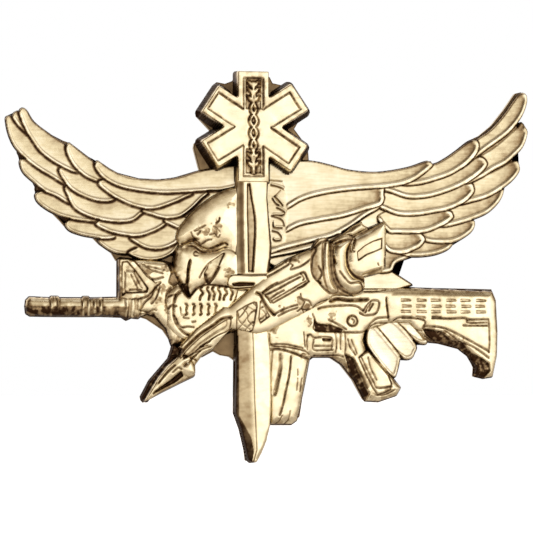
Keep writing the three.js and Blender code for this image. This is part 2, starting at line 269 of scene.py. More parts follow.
        # the wall leans out to its foot, and the back closes it; the wall is painted dark as shade, darkest at its foot
        rings = [rim_nodes]
        extra, wall_shade = [], []
        count = len(px)
        lean = draft(px[rim_nodes], pz[rim_nodes]) if callable(draft) else draft
        for share, level in ((0.15, 0.82), (1.0, 0.95)):
            ring_x = px[rim_nodes] + out_x[rim_nodes] * lean * share
            ring_z = pz[rim_nodes] + out_z[rim_nodes] * lean * share
            ring_h = ph[rim_nodes] + (back - ph[rim_nodes]) * share
            extra.append(np.stack([ring_x, -ring_h, ring_z], 1))
            wall_shade.append(np.full(len(rim_nodes), level))
            rings.append(np.arange(count, count + len(rim_nodes)))
            count += len(rim_nodes)
        points = np.vstack([np.stack([px, -ph, pz], 1)] + extra) * MM
        order = {n: k for k, n in enumerate(rim_nodes.tolist())}
        faces = quads.tolist()
        for upper, lower in zip(rings, rings[1:]):
            faces += [[upper[order[b]], upper[order[a]], lower[order[a]], lower[order[b]]] for a, b in rim]
        foot = rings[-1]
        while follow:
            start, turn = follow.popitem()
            loop = [start]
            while turn != start:
                loop.append(turn)
                turn = follow.pop(turn)
            faces.append([int(foot[order[n]]) for n in reversed(loop)])

        data = bpy.data.meshes.new(name)
        data.from_pydata(points.tolist(), [], faces)
        data.shade_smooth()
        attribute = data.attributes.new("shade_and_mottle", "FLOAT", "POINT")
        attribute.data.foreach_set("value", np.concatenate([shade_and_mottle[used]] + wall_shade).astype(np.float32))
        corners = np.empty(2 * len(data.edges), np.int32)
        data.edges.foreach_get("vertices", corners)
        sharp = data.attributes.new("sharp_edge", "BOOLEAN", "EDGE")
        sharp.data.foreach_set("value", (corners.reshape(-1, 2) >= foot[0]).all(1))
        piece = bpy.data.objects.new(name, data)
        bpy.context.collection.objects.link(piece)
        return piece


# ------------------------------------------------------------------ materials

def gold(name, tint, roughness, grain, grain_strength, shade_by_facing=False, streaks=0.1, clouds=0.12):
    """Gold plate: base tint, painted shade that darkens it to brown in recesses and on shaded faces, random mottling,
    streaks, waves and fine grain.
    """
    material = bpy.data.materials.new(name)
    material.use_nodes = True
    nodes, links = material.node_tree.nodes, material.node_tree.links
    shader = nodes["Principled BSDF"]
    shader.inputs["Metallic"].default_value = 1.0
    place = nodes.new("ShaderNodeTexCoord")

    def noise(scale, detail):
        stretch = nodes.new("ShaderNodeMapping")
        stretch.inputs["Scale"].default_value = scale
        links.new(place.outputs["Object"], stretch.inputs["Vector"])
        texture = nodes.new("ShaderNodeTexNoise")
        texture.inputs["Scale"].default_value = 1.0
        texture.inputs["Detail"].default_value = detail
        links.new(stretch.outputs["Vector"], texture.inputs["Vector"])
        return texture.outputs["Fac"]

    def mapped(value, low, high, to_low, to_high):
        node = nodes.new("ShaderNodeMapRange")
        for socket, number in (("From Min", low), ("From Max", high), ("To Min", to_low), ("To Max", to_high)):
            node.inputs[socket].default_value = number
        links.new(value, node.inputs["Value"])
        return node.outputs["Result"]

    def added(first, second):
        node = nodes.new("ShaderNodeMath")
        links.new(first, node.inputs[0])
        links.new(second, node.inputs[1])
        return node.outputs["Value"]

    fine, streak, cloud = noise(grain, 4.0), noise([0.35 * k for k in grain], 3.0), noise((420, 420, 420), 5.0)
    if shade_by_facing:  # painted shade on whatever doesn't face the wearer
        facing = nodes.new("ShaderNodeNewGeometry")
        split = nodes.new("ShaderNodeSeparateXYZ")
        links.new(facing.outputs["Normal"], split.inputs["Vector"])
        shade_and_mottle = mapped(split.outputs["Y"], 0.6, -0.4, 0.0, 0.66)
    else:
        # the relief's painted shade, mottled at random
        attribute = nodes.new("ShaderNodeAttribute")
        attribute.attribute_name = "shade_and_mottle"
        shade_and_mottle = attribute.outputs["Fac"]
    uneven = added(mapped(cloud, 0.4, 0.7, 0.0, clouds), mapped(streak, 0.4, 0.7, 0.0, streaks))
    # the more painted shade, the darker the gold: tint, tan, brown, near black
    ramp = nodes.new("ShaderNodeValToRGB")
    elements = ramp.color_ramp.elements
    elements[0].position, elements[0].color = 0.04, (*tint, 1)
    elements[1].position, elements[1].color = 0.95, (0.04, 0.018, 0.008, 1)
    elements.new(0.3).color = (0.73, 0.61, 0.38, 1)
    elements.new(0.6).color = (0.33, 0.225, 0.115, 1)
    links.new(added(shade_and_mottle, uneven), ramp.inputs["Fac"])
    links.new(ramp.outputs["Color"], shader.inputs["Base Color"])

    dull = mapped(fine, 0.0, 1.0, roughness - 0.06, roughness + 0.08)
    links.new(added(dull, mapped(shade_and_mottle, 0.0, 1.0, 0.0, 0.25)), shader.inputs["Roughness"])

    waves = nodes.new("ShaderNodeBump")
    waves.inputs["Strength"].default_value = 0.5
    waves.inputs["Distance"].default_value = 0.00003
    links.new(noise((900, 900, 900), 2.0), waves.inputs["Height"])
    relief = nodes.new("ShaderNodeBump")
    relief.inputs["Strength"].default_value = grain_strength
    relief.inputs["Distance"].default_value = 0.00002
    links.new(fine, relief.inputs["Height"])
    links.new(waves.outputs["Normal"], relief.inputs["Normal"])
    links.new(relief.outputs["Normal"], shader.inputs["Normal"])
    return material


GOLD_TINT = (0.97, 0.85, 0.585)
polished = gold("polished_gold", GOLD_TINT, 0.20, (2500, 2500, 4000), 0.25)
satin = gold("satin_gold", (0.98, 0.89, 0.68), 0.27, (1200, 4000, 11000), 0.5, streaks=0.1)
plate_gold = gold("plate_gold", GOLD_TINT, 0.3, (1500, 1500, 1500), 0.4, shade_by_facing=True, clouds=0.15)
brass = gold("clutch_brass", (0.86, 0.66, 0.30), 0.28, (3000, 3000, 3000), 0.3)


# ------------------------------------------------------------------ motifs

LEFT_FEATHERS = [
    # outermost row and coverts, lowest layer first; each runs from its outer tip along the
    # lower edge to the root and back above
    [(-22.5, 3.3), (-21.5, 2.2), (-20, 1.5), (-18.2, 1.4), (-16.7, 2.2), (-18.2, 3.8), (-20.5, 4)],
    [(-18.5, 1.5), (-17.4, 0.9), (-15.7, 0.6), (-13.9, 0.9), (-12.5, 1.8), (-12, 3.2), (-15, 2.9), (-17.3, 2.2)],
    [(-26.7, 5.5), (-26.3, 4.5), (-24.8, 3.9), (-23.2, 3.6), (-21.4, 3.4), (-20.3, 3.8), (-21.8, 5.5), (-24.5, 6.5)],
    [(-18.3, 3.7), (-17.3, 2.8), (-16, 2.2), (-14.5, 2.1), (-13.1, 2.5), (-12, 3.3), (-11.4, 5.2), (-13.7, 6.1),
     (-16.2, 4.7)],
    [(-30.5, 9.3), (-30.6, 8.5), (-29.8, 7.6), (-28.1, 6.6), (-26.1, 6), (-24.1, 5.7), (-22.7, 5.8),
     (-24.5, 7.7), (-28.6, 9.5)],
    [(-22.7, 5.5), (-21.4, 4.5), (-19.6, 4), (-17.3, 3.8), (-15.3, 4.4), (-13.9, 5.2), (-13.4, 5.9),
     (-15, 7.8), (-19.6, 6.9)],
    [(-32.5, 13.7), (-32.7, 13), (-32.2, 11.9), (-31, 10.8), (-29.5, 9.6), (-27.9, 8.9), (-26.2, 8),
     (-25.2, 8.9), (-27.9, 12.3), (-30.8, 13.5)],
    [(-26.6, 10.4), (-26.4, 8.9), (-25.6, 7.4), (-24.1, 6.5), (-22.2, 5.9), (-20, 5.6), (-18.1, 5.8), (-17, 6.6),
     (-16.4, 7.3), (-18.2, 9.2), (-22.7, 10.5)],
    [(-34.4, 19.3), (-34.5, 18.3), (-34.1, 16.7), (-33.4, 15.3), (-32.2, 14), (-30.6, 12.7), (-28.8, 11.6),
     (-26.6, 10.4), (-25.7, 11), (-27.4, 13.6), (-30, 16.3), (-32.6, 19)],
    [(-27.6, 12.5), (-26.6, 10.5), (-25.5, 9.5), (-23.8, 8.7), (-22.1, 8.3), (-20.5, 8.5), (-19.8, 9.7),
     (-21.9, 11.9), (-25.5, 12.7)],
    [(-33.7, 19.5), (-33.1, 18.3), (-31.9, 17.1), (-30.4, 15.6), (-28.6, 14), (-28.1, 15.4), (-31.3, 18.8),
     (-32.7, 20)],
    [(-32.5, 20.4), (-32.8, 19.9), (-32.5, 18.8), (-31.9, 17.5), (-31, 16), (-30, 14.7), (-28.6, 13.6),
     (-27.2, 12.8), (-25.5, 12.1), (-24.5, 12.5), (-25.5, 14.6), (-26.6, 15.6), (-28.8, 17), (-30.9, 18.6),
     (-31.9, 20.1)],
    [(-26.4, 15.9), (-26.7, 15.3), (-26.4, 14.2), (-25.7, 13), (-24.5, 11.8), (-23.2, 11.1), (-21.9, 10.8),
     (-20.9, 11.9), (-22.8, 13.3), (-24.8, 14.8), (-26, 15.7)],
    # long inner feathers
    [(-13.8, 5.9), (-12.7, 5.2), (-11.6, 4.9), (-10.8, 6.1), (-12.7, 6.8)],
    [(-16.7, 7.2), (-15.4, 6.6), (-13.7, 6.2), (-11.8, 6.4), (-10.3, 7.4), (-9, 8.7), (-8.1, 9.7), (-10.5, 10.3),
     (-15, 8.3)],
    [(-22.4, 10.8), (-21.4, 9.6), (-19.6, 8.5), (-17.6, 7.7), (-15.3, 7.4), (-13, 8.1), (-11.2, 8.9),
     (-10.1, 9.7), (-12.7, 11), (-19.6, 11.3)],
    [(-22.7, 13.6), (-22.9, 12.8), (-21.9, 11.5), (-20, 10.4), (-17.4, 9.8), (-13.9, 9.5), (-10.5, 9.7),
     (-8, 9.9), (-6.1, 10), (-3.6, 10.9), (-3.6, 13.2), (-9, 12.5), (-11.9, 11.6), (-15, 11.2),
     (-18.4, 11.4), (-20.7, 12.4), (-22.1, 13.3)],
]

RIGHT_FEATHERS = [
    [(19.2, 1.5), (17.2, 0.5), (16.5, -0.6), (14.6, -0.6), (14.8, 1.6), (17, 2.3)],
    [(25, 3.3), (24.3, 2.4), (22.6, 1.7), (20.5, 1.4), (18.6, 1.5), (16.2, 2.2), (17.6, 3.6), (22.4, 3.9),
     (24.4, 3.9)],
    [(28, 5.9), (27.6, 4.9), (26.3, 3.9), (24.8, 3.3), (22.6, 3.2), (21, 3.5), (20, 4.3), (22.4, 5.8),
     (26, 6.2), (27.6, 6.4)],
    [(21, 3.7), (20.5, 2.8), (19.6, 2.3), (18.1, 1.8), (16.2, 2), (15.3, 3.3), (16.7, 5.2), (20, 4.7)],
    [(31.9, 10), (31.2, 8.7), (29.8, 7.4), (28.1, 6.6), (26, 5.9), (23.8, 5.4), (22.4, 5.8), (23.5, 8.1),
     (28.3, 9.3), (31.6, 10.6)],
    [(24.9, 7), (24.7, 6.4), (23.3, 5.5), (21.4, 4.7), (19.6, 4.5), (17.4, 4.5), (16, 4.7), (14.8, 6.8),
     (18.9, 8), (24, 7.6)],
    [(34.2, 13.5), (33.9, 12.6), (32.9, 11.5), (31.4, 10.4), (29.6, 9.4), (27.6, 8.8), (25.3, 8.3), (23.8, 8.8),
     (26, 10.9), (30.7, 12.9), (33.5, 14.4)],
    [(27.8, 10.6), (27.5, 9.7), (26.2, 8.6), (24.3, 7.7), (22.4, 7.3), (20, 6.9), (17.6, 6.9), (15.8, 7.5),
     (14.9, 8.1), (15.7, 9.9), (20, 10.3), (26.7, 11.3)],
    [(35.3, 18.1), (34.7, 16.4), (33.6, 15.2), (32.2, 14), (30.5, 13.1), (28.9, 12.1), (26.7, 11.2), (25.3, 11.8),
     (27.1, 13.9), (30.7, 16.1), (33.6, 18.6), (34.5, 19.6), (35.1, 18.8)],
    [(29.6, 14.1), (29.3, 13.3), (28.2, 12.3), (26, 10.9), (23.5, 9.9), (21.2, 9.3), (18.9, 9.2), (16.8, 9.8),
     (15.1, 10.5), (16.7, 11.7), (21.2, 12), (26, 13.7), (28.6, 14.8)],
    [(35.3, 22.7), (34.9, 21.2), (34.1, 19.8), (32.7, 18.2), (31.3, 17.1), (29.6, 15.9), (27.9, 14.6),
     (26, 13.2), (24.8, 13.7), (26.7, 16), (28.3, 17.2), (30.3, 18.6), (32.1, 20.6), (33.3, 22.3), (34.2, 23.4),
     (35, 23.5)],
    [(28.5, 16.5), (28.2, 15.4), (26.9, 13.9), (24.8, 12.5), (22.4, 11.6), (20, 11), (17.7, 11),
     (16.7, 12.2), (19.6, 13.4), (22.4, 13.8), (23.9, 14.5), (25.5, 15.6), (27.2, 16.9), (28.1, 17.1)],
    # long inner feathers
    [(-2, 0.5), (0.2, 1.1), (2.8, 1.6), (5.8, 2.3), (8.7, 2.8), (9.7, 4.6), (4.9, 4.6), (-1, 3.2)],
    [(-2, 1.1), (0.4, 1.7), (2.3, 2.3), (5.8, 3.2), (8.7, 4), (11.1, 5.3), (12.9, 6.6), (15, 8), (12.9, 8.5),
     (8.3, 7.2), (2.3, 5.6), (-1, 4)],
    [(15.5, 9.5), (15.5, 8.9), (15, 8.2), (12.9, 7.5), (10.1, 6.6), (7, 6), (4.2, 5.4), (1.9, 4.4),
     (0.9, 5.5), (2.3, 7.7), (4.4, 8.8), (6.9, 9.6), (10.6, 10.1), (15, 10.6)],
    [(22.2, 13.8), (21.9, 13.3), (20.8, 12.4), (19.6, 11.6), (17.7, 10.9), (15, 10.5), (10.6, 10.1),
     (6.9, 9.5), (4.4, 8.7), (2.3, 7.5), (0.2, 6.9), (-1.5, 7.8), (-1.5, 12.8), (1.2, 13.9), (5.5, 14),
     (8.3, 13.5), (10.6, 12.9), (13.4, 12.6), (15.7, 12.7), (18.9, 13.3), (21.2, 14.1), (21.8, 14.1)],
]

LEFT_CORE = [
    (-33.2, 19.2), (-28.8, 16.5), (-22, 12.5), (-15.1, 10.8), (-8.2, 12), (-3.2, 12.7), (-3.2, 2.8), (-9.2, 1.3),
    (-15.1, 1.4), (-20.2, 1.8), (-22.2, 3.4), (-26.6, 5.6), (-27.8, 6.5), (-30.3, 9), (-30.7, 10.3), (-32.3, 13.2),
    (-33, 14.6),
]
RIGHT_CORE = [
    (-1.2, 12.7), (4.8, 13.3), (12.8, 12.2), (21.9, 13.1), (29.1, 17.2), (33.2, 21.3), (34.1, 20.1), (33.9, 18.9),
    (34.3, 17.3), (33.2, 15.2), (33.3, 13.6), (31.6, 11), (31.2, 9.9), (29.8, 8), (27.3, 6.9), (25.7, 4.8),
    (23.5, 3.2), (21, 1.9), (18.9, 1.6), (17, 0.6), (16.5, -0.5), (19.5, -2.4), (15.8, -3.5), (5.7, -2.5), (-1.2, 0.9),
]

SKULL = [
    (-4.3, 10.3), (-5.9, 9.9), (-7.5, 9.1), (-9, 8), (-10.5, 6.7), (-11.6, 5.4), (-12.2, 4.4),
    (-12.3, 3.4), (-12, 2.5), (-12.2, 1.4), (-12.4, 0.2), (-12.4, -0.9), (-12.1, -2.1), (-12.2, -2.4),
    (-13.3, -3.2), (-13.6, -4), (-13.7, -4.9), (-13.6, -5.8), (-13.6, -6.7), (-13.5, -7.8),
    (-12.8, -8.8), (-11.9, -9.6), (-11, -9.9), (-8.8, -9.5), (-5.4, -7.4), (-3.8, -2.4), (-3.8, 3.3),
    (-3.8, 10.1),
]
CRANIUM = [
    (-4.3, 10.3), (-5.9, 9.9), (-7.5, 9.1), (-9, 8), (-10.5, 6.7), (-11.6, 5.4), (-12.2, 4.4),
    (-12.3, 3.4), (-11.5, 2.9), (-10.1, 3), (-9, 2.3), (-7.9, 2.1), (-6.8, 2.4), (-5.9, 2.8),
    (-5.2, 2.1), (-3.6, 1.9), (-3.6, 10.3),
]
BROW = [(-11.5, 2.4), (-10.1, 2.6), (-9, 1.9), (-7.9, 1.9), (-6.8, 2.3), (-6, 2.6), (-5.5, 2.4)]
BAND_SHADOW = [
    (-11.6, 2.7), (-10.9, 2.9), (-10.5, 3.2), (-9.8, 3.3), (-9.3, 2.8), (-8.8, 2.3), (-7.9, 2.1),
    (-7, 2.5), (-6, 2.9), (-5.6, 2.7),
]
CHEEK = [
    (-12.2, 2.3), (-10.2, 2.5), (-9, 1.8), (-7.5, 1.8), (-6, 2.4), (-5, 2.3), (-3.6, 2.2), (-3.6, -2.6),
    (-5.9, -2.8), (-8.2, -2.6), (-9.6, -3.1), (-10.6, -4.1), (-11.5, -3.1), (-12.2, -1.9), (-12.6, -0.7),
    (-12.6, 0.5), (-12.4, 1.4),
]
CHEEK_SLOT = [
    (-10.49, 0.6), (-10.71, -0.76), (-10.79, -1.99), (-10.86, -2.79), (-10.56, -4.13),
    (-11.11, -3.58), (-11.55, -2.62), (-11.05, -2.57), (-10.91, -1.54), (-10.86, -0.64),
    (-10.71, 0.26),
]
CHEEK_HOOK = [(-12.1, -1.6), (-11.8, -2.6), (-11.3, -3.5), (-10.7, -4.2)]
NOSE = [
    (-6.01, 1.6), (-7.03, 0.96), (-7.94, 0.29), (-8.39, -0.62), (-8.68, -1.19), (-8.5, -1.98),
    (-8.16, -2.43), (-7.65, -2.09), (-7.03, -0.84), (-6.52, 0.4),
]
NOSE_INNER = [
    (-6.58, 0.92), (-7.82, 0.17), (-7.94, -0.85), (-8.5, -1.3), (-8.05, -2.32), (-7.48, -1.64),
    (-6.8, -0.28),
]
SKULL_LINES = [
    [(-9.3, -1.7), (-8.9, -0.9), (-8.3, 0), (-7.8, 0.4)],
    [(-10.4, 4.2), (-10.1, 3.6), (-9.4, 3.3)],
    [(-10, 4.4), (-9.3, 4.8), (-8.6, 5.2)],
    [(-9.6, 3.9), (-9.2, 4.4)],
    [(-7.5, 5), (-7, 4.8), (-6.6, 4.3)],
    [(-8, 3.9), (-7.3, 4.1), (-6.9, 3.6), (-6.6, 3.9)],
    [(-6.7, 6.2), (-6.8, 5.8), (-7.2, 5.5)],
    [(-7.1, 4.7), (-7, 4)],
    [(-9, 2.7), (-8.3, 3.2), (-7.7, 3.3)],
    [(-13.6, -3.9), (-13.3, -3.3), (-12.7, -2.9)],
    [(-13.4, -4.1), (-13, -4), (-12.4, -4)],
    [(-13.4, -5.7), (-13.1, -5.4), (-12.7, -5.3), (-12.3, -5.4)],
    [(-12.6, -6.6), (-12.3, -7.1), (-12.1, -7.7), (-11.6, -8.2), (-10.8, -8.1), (-10, -8.2)],
    [(-11.8, -5.6), (-11.7, -6.4), (-11.3, -6.7), (-11.4, -6.9), (-10.7, -7)],
    [(-10.3, -7.5), (-9.8, -7.4)],
]
JAW_EDGE = [
    (-11.5, -3.3), (-12.4, -4), (-12.7, -5.4), (-12.6, -7), (-12, -8.2), (-11, -9.1), (-9.8, -9.4),
]
SHADE_AND_WEAR_PATCHES = [(-5.2, -1.2, 0.7), (-8.2, 4.3, 0.55), (-7.3, 4.7, 0.6), (-6.8, 5.3, 0.45), (-9.6, 4.5, 0.35), (-4.9, 8, 0.5)]
UPPER_TEETH = [
    [(-9.01, -2.89), (-9.17, -3.17), (-8.87, -3.67), (-9.18, -4.12), (-9.27, -4.56)],
    [(-8.16, -2.88), (-8.32, -3.17), (-8.02, -3.67), (-8.02, -4.12), (-8.11, -4.55)],
    [(-7.48, -2.88), (-7.64, -3.16), (-7.34, -3.66), (-7.39, -4.11), (-7.48, -4.55)],
    [(-6.69, -2.87), (-6.85, -3.16), (-6.55, -3.66), (-6.59, -4.11), (-6.69, -4.54)],
    [(-5.78, -2.87), (-5.94, -3.15), (-5.64, -3.65), (-6.01, -4.11), (-6.1, -4.54)],
    [(-4.98, -2.86), (-5.14, -3.15), (-4.84, -3.65), (-5.04, -4.1), (-5.13, -4.53)],
]
LOWER_TEETH = [
    [(-11.13, -5.17), (-10.92, -5.25), (-11.04, -5.79), (-10.97, -6.36), (-11.14, -6.56)],
    [(-10.16, -5.17), (-9.95, -5.25), (-10.07, -5.79), (-10, -6.35), (-10.18, -6.55)],
    [(-9.21, -5.16), (-9, -5.24), (-9.11, -5.78), (-9.04, -6.35), (-9.22, -6.55)],
    [(-8.22, -5.16), (-8.01, -5.24), (-8.12, -5.78), (-8.06, -6.35), (-8.24, -6.54)],
    [(-7.27, -5.15), (-7.07, -5.23), (-7.18, -5.77), (-7.11, -6.34), (-7.3, -6.54)],
]
DAGGER = [
    (-0.2, 11.89), (-0.2, 10.69), (-0.26, 8.93), (-0.09, 6.66), (0.13, 4.4), (0.31, 2.7),
    (0.25, 1), (-0.09, -0.7), (-0.32, -1.22), (-0.2, -3), (-0.2, -7.22), (-0.1, -9.19),
    (0.25, -11.28), (0.35, -17.56), (0.2, -20.9), (-0.3, -23.04), (-0.95, -24.6), (-1.6, -25.77),
    (-2.4, -25.87), (-2.85, -25.51), (-3.1, -24.2), (-3.75, -21.47), (-4.5, -19.38),
    (-4.45, -12.72), (-4.35, -10.11), (-4.4, -4.62), (-4.93, -3.17), (-5.55, -2.89), (-5.72, -2.21),
    (-5.55, -1.65), (-5.04, -1.19), (-4.54, -0.85), (-4.6, 0.96), (-4.71, 3.78), (-4.65, 7.75),
    (-4.5, 10.64), (-4.5, 11.83),
]
GRIP_LEFT = [
    (-3.5, 11.84), (-3.5, 10.64), (-3.5, 7.76), (-3.45, 3.79), (-3.35, -0.17), (-3.3, -1.24),
]
GRIP_GROOVE_LEFT = [(-3, 10.65), (-2.98, 6.63), (-2.91, 4.37), (-2.83, -0.84)]
GRIP_GROOVE_RIGHT = [
    (-2.71, 10.66), (-2.48, 8.9), (-2.18, 7.2), (-2, 4.94), (-2.14, 2.1), (-2.34, -0.84),
]
GRIP_RIGHT = [
    (-0.32, 11.89), (-0.32, 10.69), (-0.4, 8.92), (-0.26, 6.66), (-0.09, 4.4), (0.03, 2.7),
    (-0.05, 1), (-0.37, -0.82),
]
GUARD_TOP = [(-5.5, -1.42), (-4.93, -1.28), (-2.54, -1.34), (-0.37, -1.28)]
GUARD_SLOT = [
    (-5.04, -2.49), (-4.14, -2.32), (-3.33, -2.31), (-2.03, -2.36), (-2.2, -2.7), (-4.14, -2.82),
    (-4.8, -2.8),
]
GUARD_LOW = [(-5.55, -2.89), (-4.93, -3.13), (-3.68, -3.04), (-1.97, -2.8), (-0.83, -2.07)]
BLADE_RIDGE = [(-2.29, -8.53), (-2.2, -10.11), (-2, -17.68), (-1.7, -24.2), (-2.15, -25.76)]
BLADE_LEFT = [
    (-4.1, -9.2), (-4, -19.77), (-3.25, -21.08), (-2.45, -22.59), (-2.1, -24.3), (-2.3, -25.76),
]
BLADE_RIGHT = [
    (-0.3, -9.19), (-0.1, -11.28), (0, -17.56), (-0.15, -20.9), (-0.75, -23.04), (-1.9, -25.51),
]
ENGRAVED_FIELD = [(-1.5, 11.5), (1.9, 11.2), (2.3, 9.5), (2.5, 7.6), (2.4, 5), (2.2, 3.2), (1, 2.7), (-1.5, 2.7)]
FILIGREE = [
    [(0.3, 10.7), (1.2, 10.5), (2, 10.2)],
    [(0.8, 9.2), (1.4, 8.6), (1.9, 8)],
    [(0.9, 9.3), (1.6, 10)],
    [(1.1, 7.7), (1.7, 7.4), (2.2, 7), (1.8, 6.7), (1.1, 6.7), (0.6, 6.7)],
    [(0.4, 6.6), (1.4, 6.3), (1.9, 5.9), (2.1, 5.3)],
    [(0.6, 5.7), (0.7, 5.1), (1.8, 5)],
    [(0.5, 4.6), (1.2, 4.4), (1.7, 3.8), (1.6, 3.4), (0.9, 3.3), (0.6, 3.5)],
    [(0.5, 8.9), (0.9, 8.3), (1.4, 8)],
]

# --- rifle
RIFLE = [
    (-31.9, -5.5), (-31.8, -4.7), (-31.4, -4.3), (-28.7, -4.4), (-28.6, -4.2), (-27.7, -4.2), (-27.5, -4.4),
    (-24.6, -4.4), (-24.4, -4.2), (-23.7, -4.2), (-23.6, -4.4), (-19.9, -4.3), (-19.9, 0.7), (-19.6, 0.9),
    (-18.4, 0.8), (-17.4, 0.7), (-15.7, 0.7), (-13.8, 0.5), (-12, 0), (-11.2, -2), (-2.5, -2.6), (5.5, -3.7),
    (12.7, -2.8), (18.8, -2.8), (30.3, -3.2), (30.8, -4.4), (31, -8.6), (30.9, -11.8), (30.3, -14.6),
    (29.1, -14.8), (27.8, -14.5), (27.9, -13.3), (27, -11.8), (25.7, -10.8), (23, -10.1),
    (20.8, -9.9), (20.2, -9), (18.8, -7.6), (16.2, -7.6), (14.7, -8.1), (13.1, -8.6), (12.7, -9.8),
    (13.1, -11), (14.8, -12.4), (16.7, -14.7), (17.8, -16.1), (17.2, -17.1), (14.8, -17.9),
    (13, -17.8), (11.6, -15.1), (9.9, -13), (8.6, -12.1), (8.1, -12), (5.7, -12), (5.5, -12.4), (4.9, -15.5),
    (4.2, -18.8), (3.8, -20.4), (3.1, -20.9), (0.2, -20.9), (-0.9, -17.7), (-0.9, -8.5), (-4.5, -8.7),
    (-9.2, -8.5), (-11.4, -10.5), (-12.8, -10.5), (-13.5, -8.3), (-14.9, -6.8), (-16, -6.4), (-17, -6.8),
    (-17.2, -7), (-18.1, -6.9), (-18.8, -7.2), (-19.4, -6.8), (-22.5, -6.7), (-23.9, -6.75),
    (-28.1, -6.75), (-31.3, -6.7), (-31.8, -6.4),
]
BARREL_CREST = [(-31.7, -5.3), (-28.1, -5.2), (-23.6, -5.2), (-19.7, -5.2), (-17.7, -5.3), (-16.8, -5.6)]
BARREL_RINGS = [
    [(-28.6, -4.3), (-28.5, -5.5), (-28.6, -6.8)],
    [(-27.7, -4.3), (-27.6, -5.5), (-27.7, -6.8)],
    [(-24.4, -4.3), (-24.4, -5.4), (-24.4, -6.8)],
    [(-23.7, -4.3), (-23.7, -5.4), (-23.7, -6.8)],
    [(-22.9, -4.3), (-22.9, -5.4), (-22.9, -6.8)],
    [(-22.1, -4.3), (-22.1, -5.4), (-22.1, -6.8)],
    [(-18.8, -4.2), (-18.7, -5.4), (-18.8, -6.8)],
    [(-18, -4.2), (-17.9, -5.4), (-18, -6.8)],
    [(-17.2, -4.2), (-17.1, -5.4), (-17.2, -6.8)],
]
SIGHT_HOUSE = [
    (-19.9, 0.7), (-18.6, 0.7), (-17.8, 0.4), (-17, -0.5), (-16, -1.5), (-15.1, -2.5), (-14.4, -2.3),
    (-15.1, -3), (-15.9, -4), (-16.8, -4.3), (-18.5, -4.5), (-19.6, -4.3),
]
SIGHT_WINDOW = [
    (-19.4, 0.3), (-18.7, 0.4), (-17.9, -0.5), (-17, -1.7), (-16, -3.1), (-16.2, -3.6),
    (-18.9, -3.7), (-19.4, -4.1),
]
SIGHT_LINES = [
    [(-19, -1), (-18.9, -3.5), (-17.5, -3.6), (-16.2, -3.5)],
    [(-18.2, -1.3), (-17.8, -2.1), (-17.3, -3.1)],
    [(-17.8, -1.1), (-17.3, -2.1), (-16.8, -3)],
    [(-18.4, -3.3), (-16.8, -3.3)],
    [(-18.8, -0.8), (-17.8, -0.9)],
    [(-17.2, 0), (-16.3, -1.3), (-15.3, -1.9), (-14, -1.6)],
    [(-16.6, 0.1), (-15.6, -0.6), (-14.1, -1.1)],
    [(-16, -0.2), (-14.6, -0.5), (-14, -0.6)],
    [(-14.4, -2.3), (-15.3, -3.4), (-16.2, -4.2), (-17.3, -4.5)],
    [(-13, -2.9), (-13.5, -3.5), (-13.7, -4.7), (-13.6, -5.3)],
    [(-15.1, -3), (-15.6, -4.1), (-16.5, -5), (-16.8, -5.7)],
    [(-17.2, -6), (-15.9, -6.2), (-15.3, -5.9), (-14.9, -6)],
    [(-14.5, -3), (-15, -4.4), (-15.6, -5.1)],
]
SIGHT_HOLLOW = [(-13.7, 0.9), (-12.2, 0.9), (-11.6, -2.2), (-12.6, -2.9), (-13.3, -2.2), (-12.9, -1), (-13.3, 0)]
RIFLE_SHADE_AND_WEAR_PATCHES = [
    (-13.2, -5.6, 0.7), (-14.8, -4.8, 0.6), (-12.6, -7.4, 0.7), (-12.1, -9.8, 0.6), (-14.1, -3, 0.5),
    (-16, -1, 0.5), (-13.6, -0.6, 0.5), (8.4, -6.6, 0.4), (16.8, -8, 0.5), (5.2, -7.4, 0.5), (0.6, -8.6, 0.5),
    (21.4, -9.2, 0.6), (25.6, -10.3, 0.6), (28.6, -12.6, 0.6), (13.9, -16.9, 0.4), (4.6, -11.7, 0.4),
]
GUARD_HOLLOW = [
    (-15.2, -6.4), (-14.8, -7), (-14, -8.6), (-13.4, -9), (-14.4, -8.1), (-15.3, -7.3),
    (-15.6, -6.8),
]
RECEIVER_LINES = [
    [(8.2, -4.6), (9.2, -4.3), (10.8, -4.5), (13.2, -4.4)],
    [(6.5, -5.7), (7.5, -5.4), (11.2, -5.2), (12.6, -5.9)],
    [(12.6, -5.9), (13.5, -4.7), (14.3, -4.5), (14.7, -4.8), (14.3, -6.2), (12.9, -6.5), (12.1, -6.2)],
    [(12.8, -6.2), (13.5, -5), (13.3, -5.9), (13.9, -4.9)],
    [(15.7, -4.4), (15.9, -5.7), (16, -6.8)],
    [(7.9, -7.1), (9.2, -7.7), (10.3, -8.4)],
    [(5.8, -6.4), (6.1, -7.1), (6.2, -8.5), (9.6, -8.7), (12.6, -8.7), (13.6, -7.6), (14.4, -6.9),
     (15.9, -6.8)],
    [(12.8, -8.9), (13.6, -8), (14.4, -7.6), (15.8, -7.5)],
    [(12.8, -3.3), (13.9, -3.3), (15.5, -3.2)],
    [(13.9, -1.6), (14.8, -2.4), (15.6, -2.9)],
]
RECEIVER_SHADE = [(6, -7.1), (6.5, -7.7), (8.2, -7.8), (9.8, -8.4), (9.6, -8.7), (6.2, -8.6)]
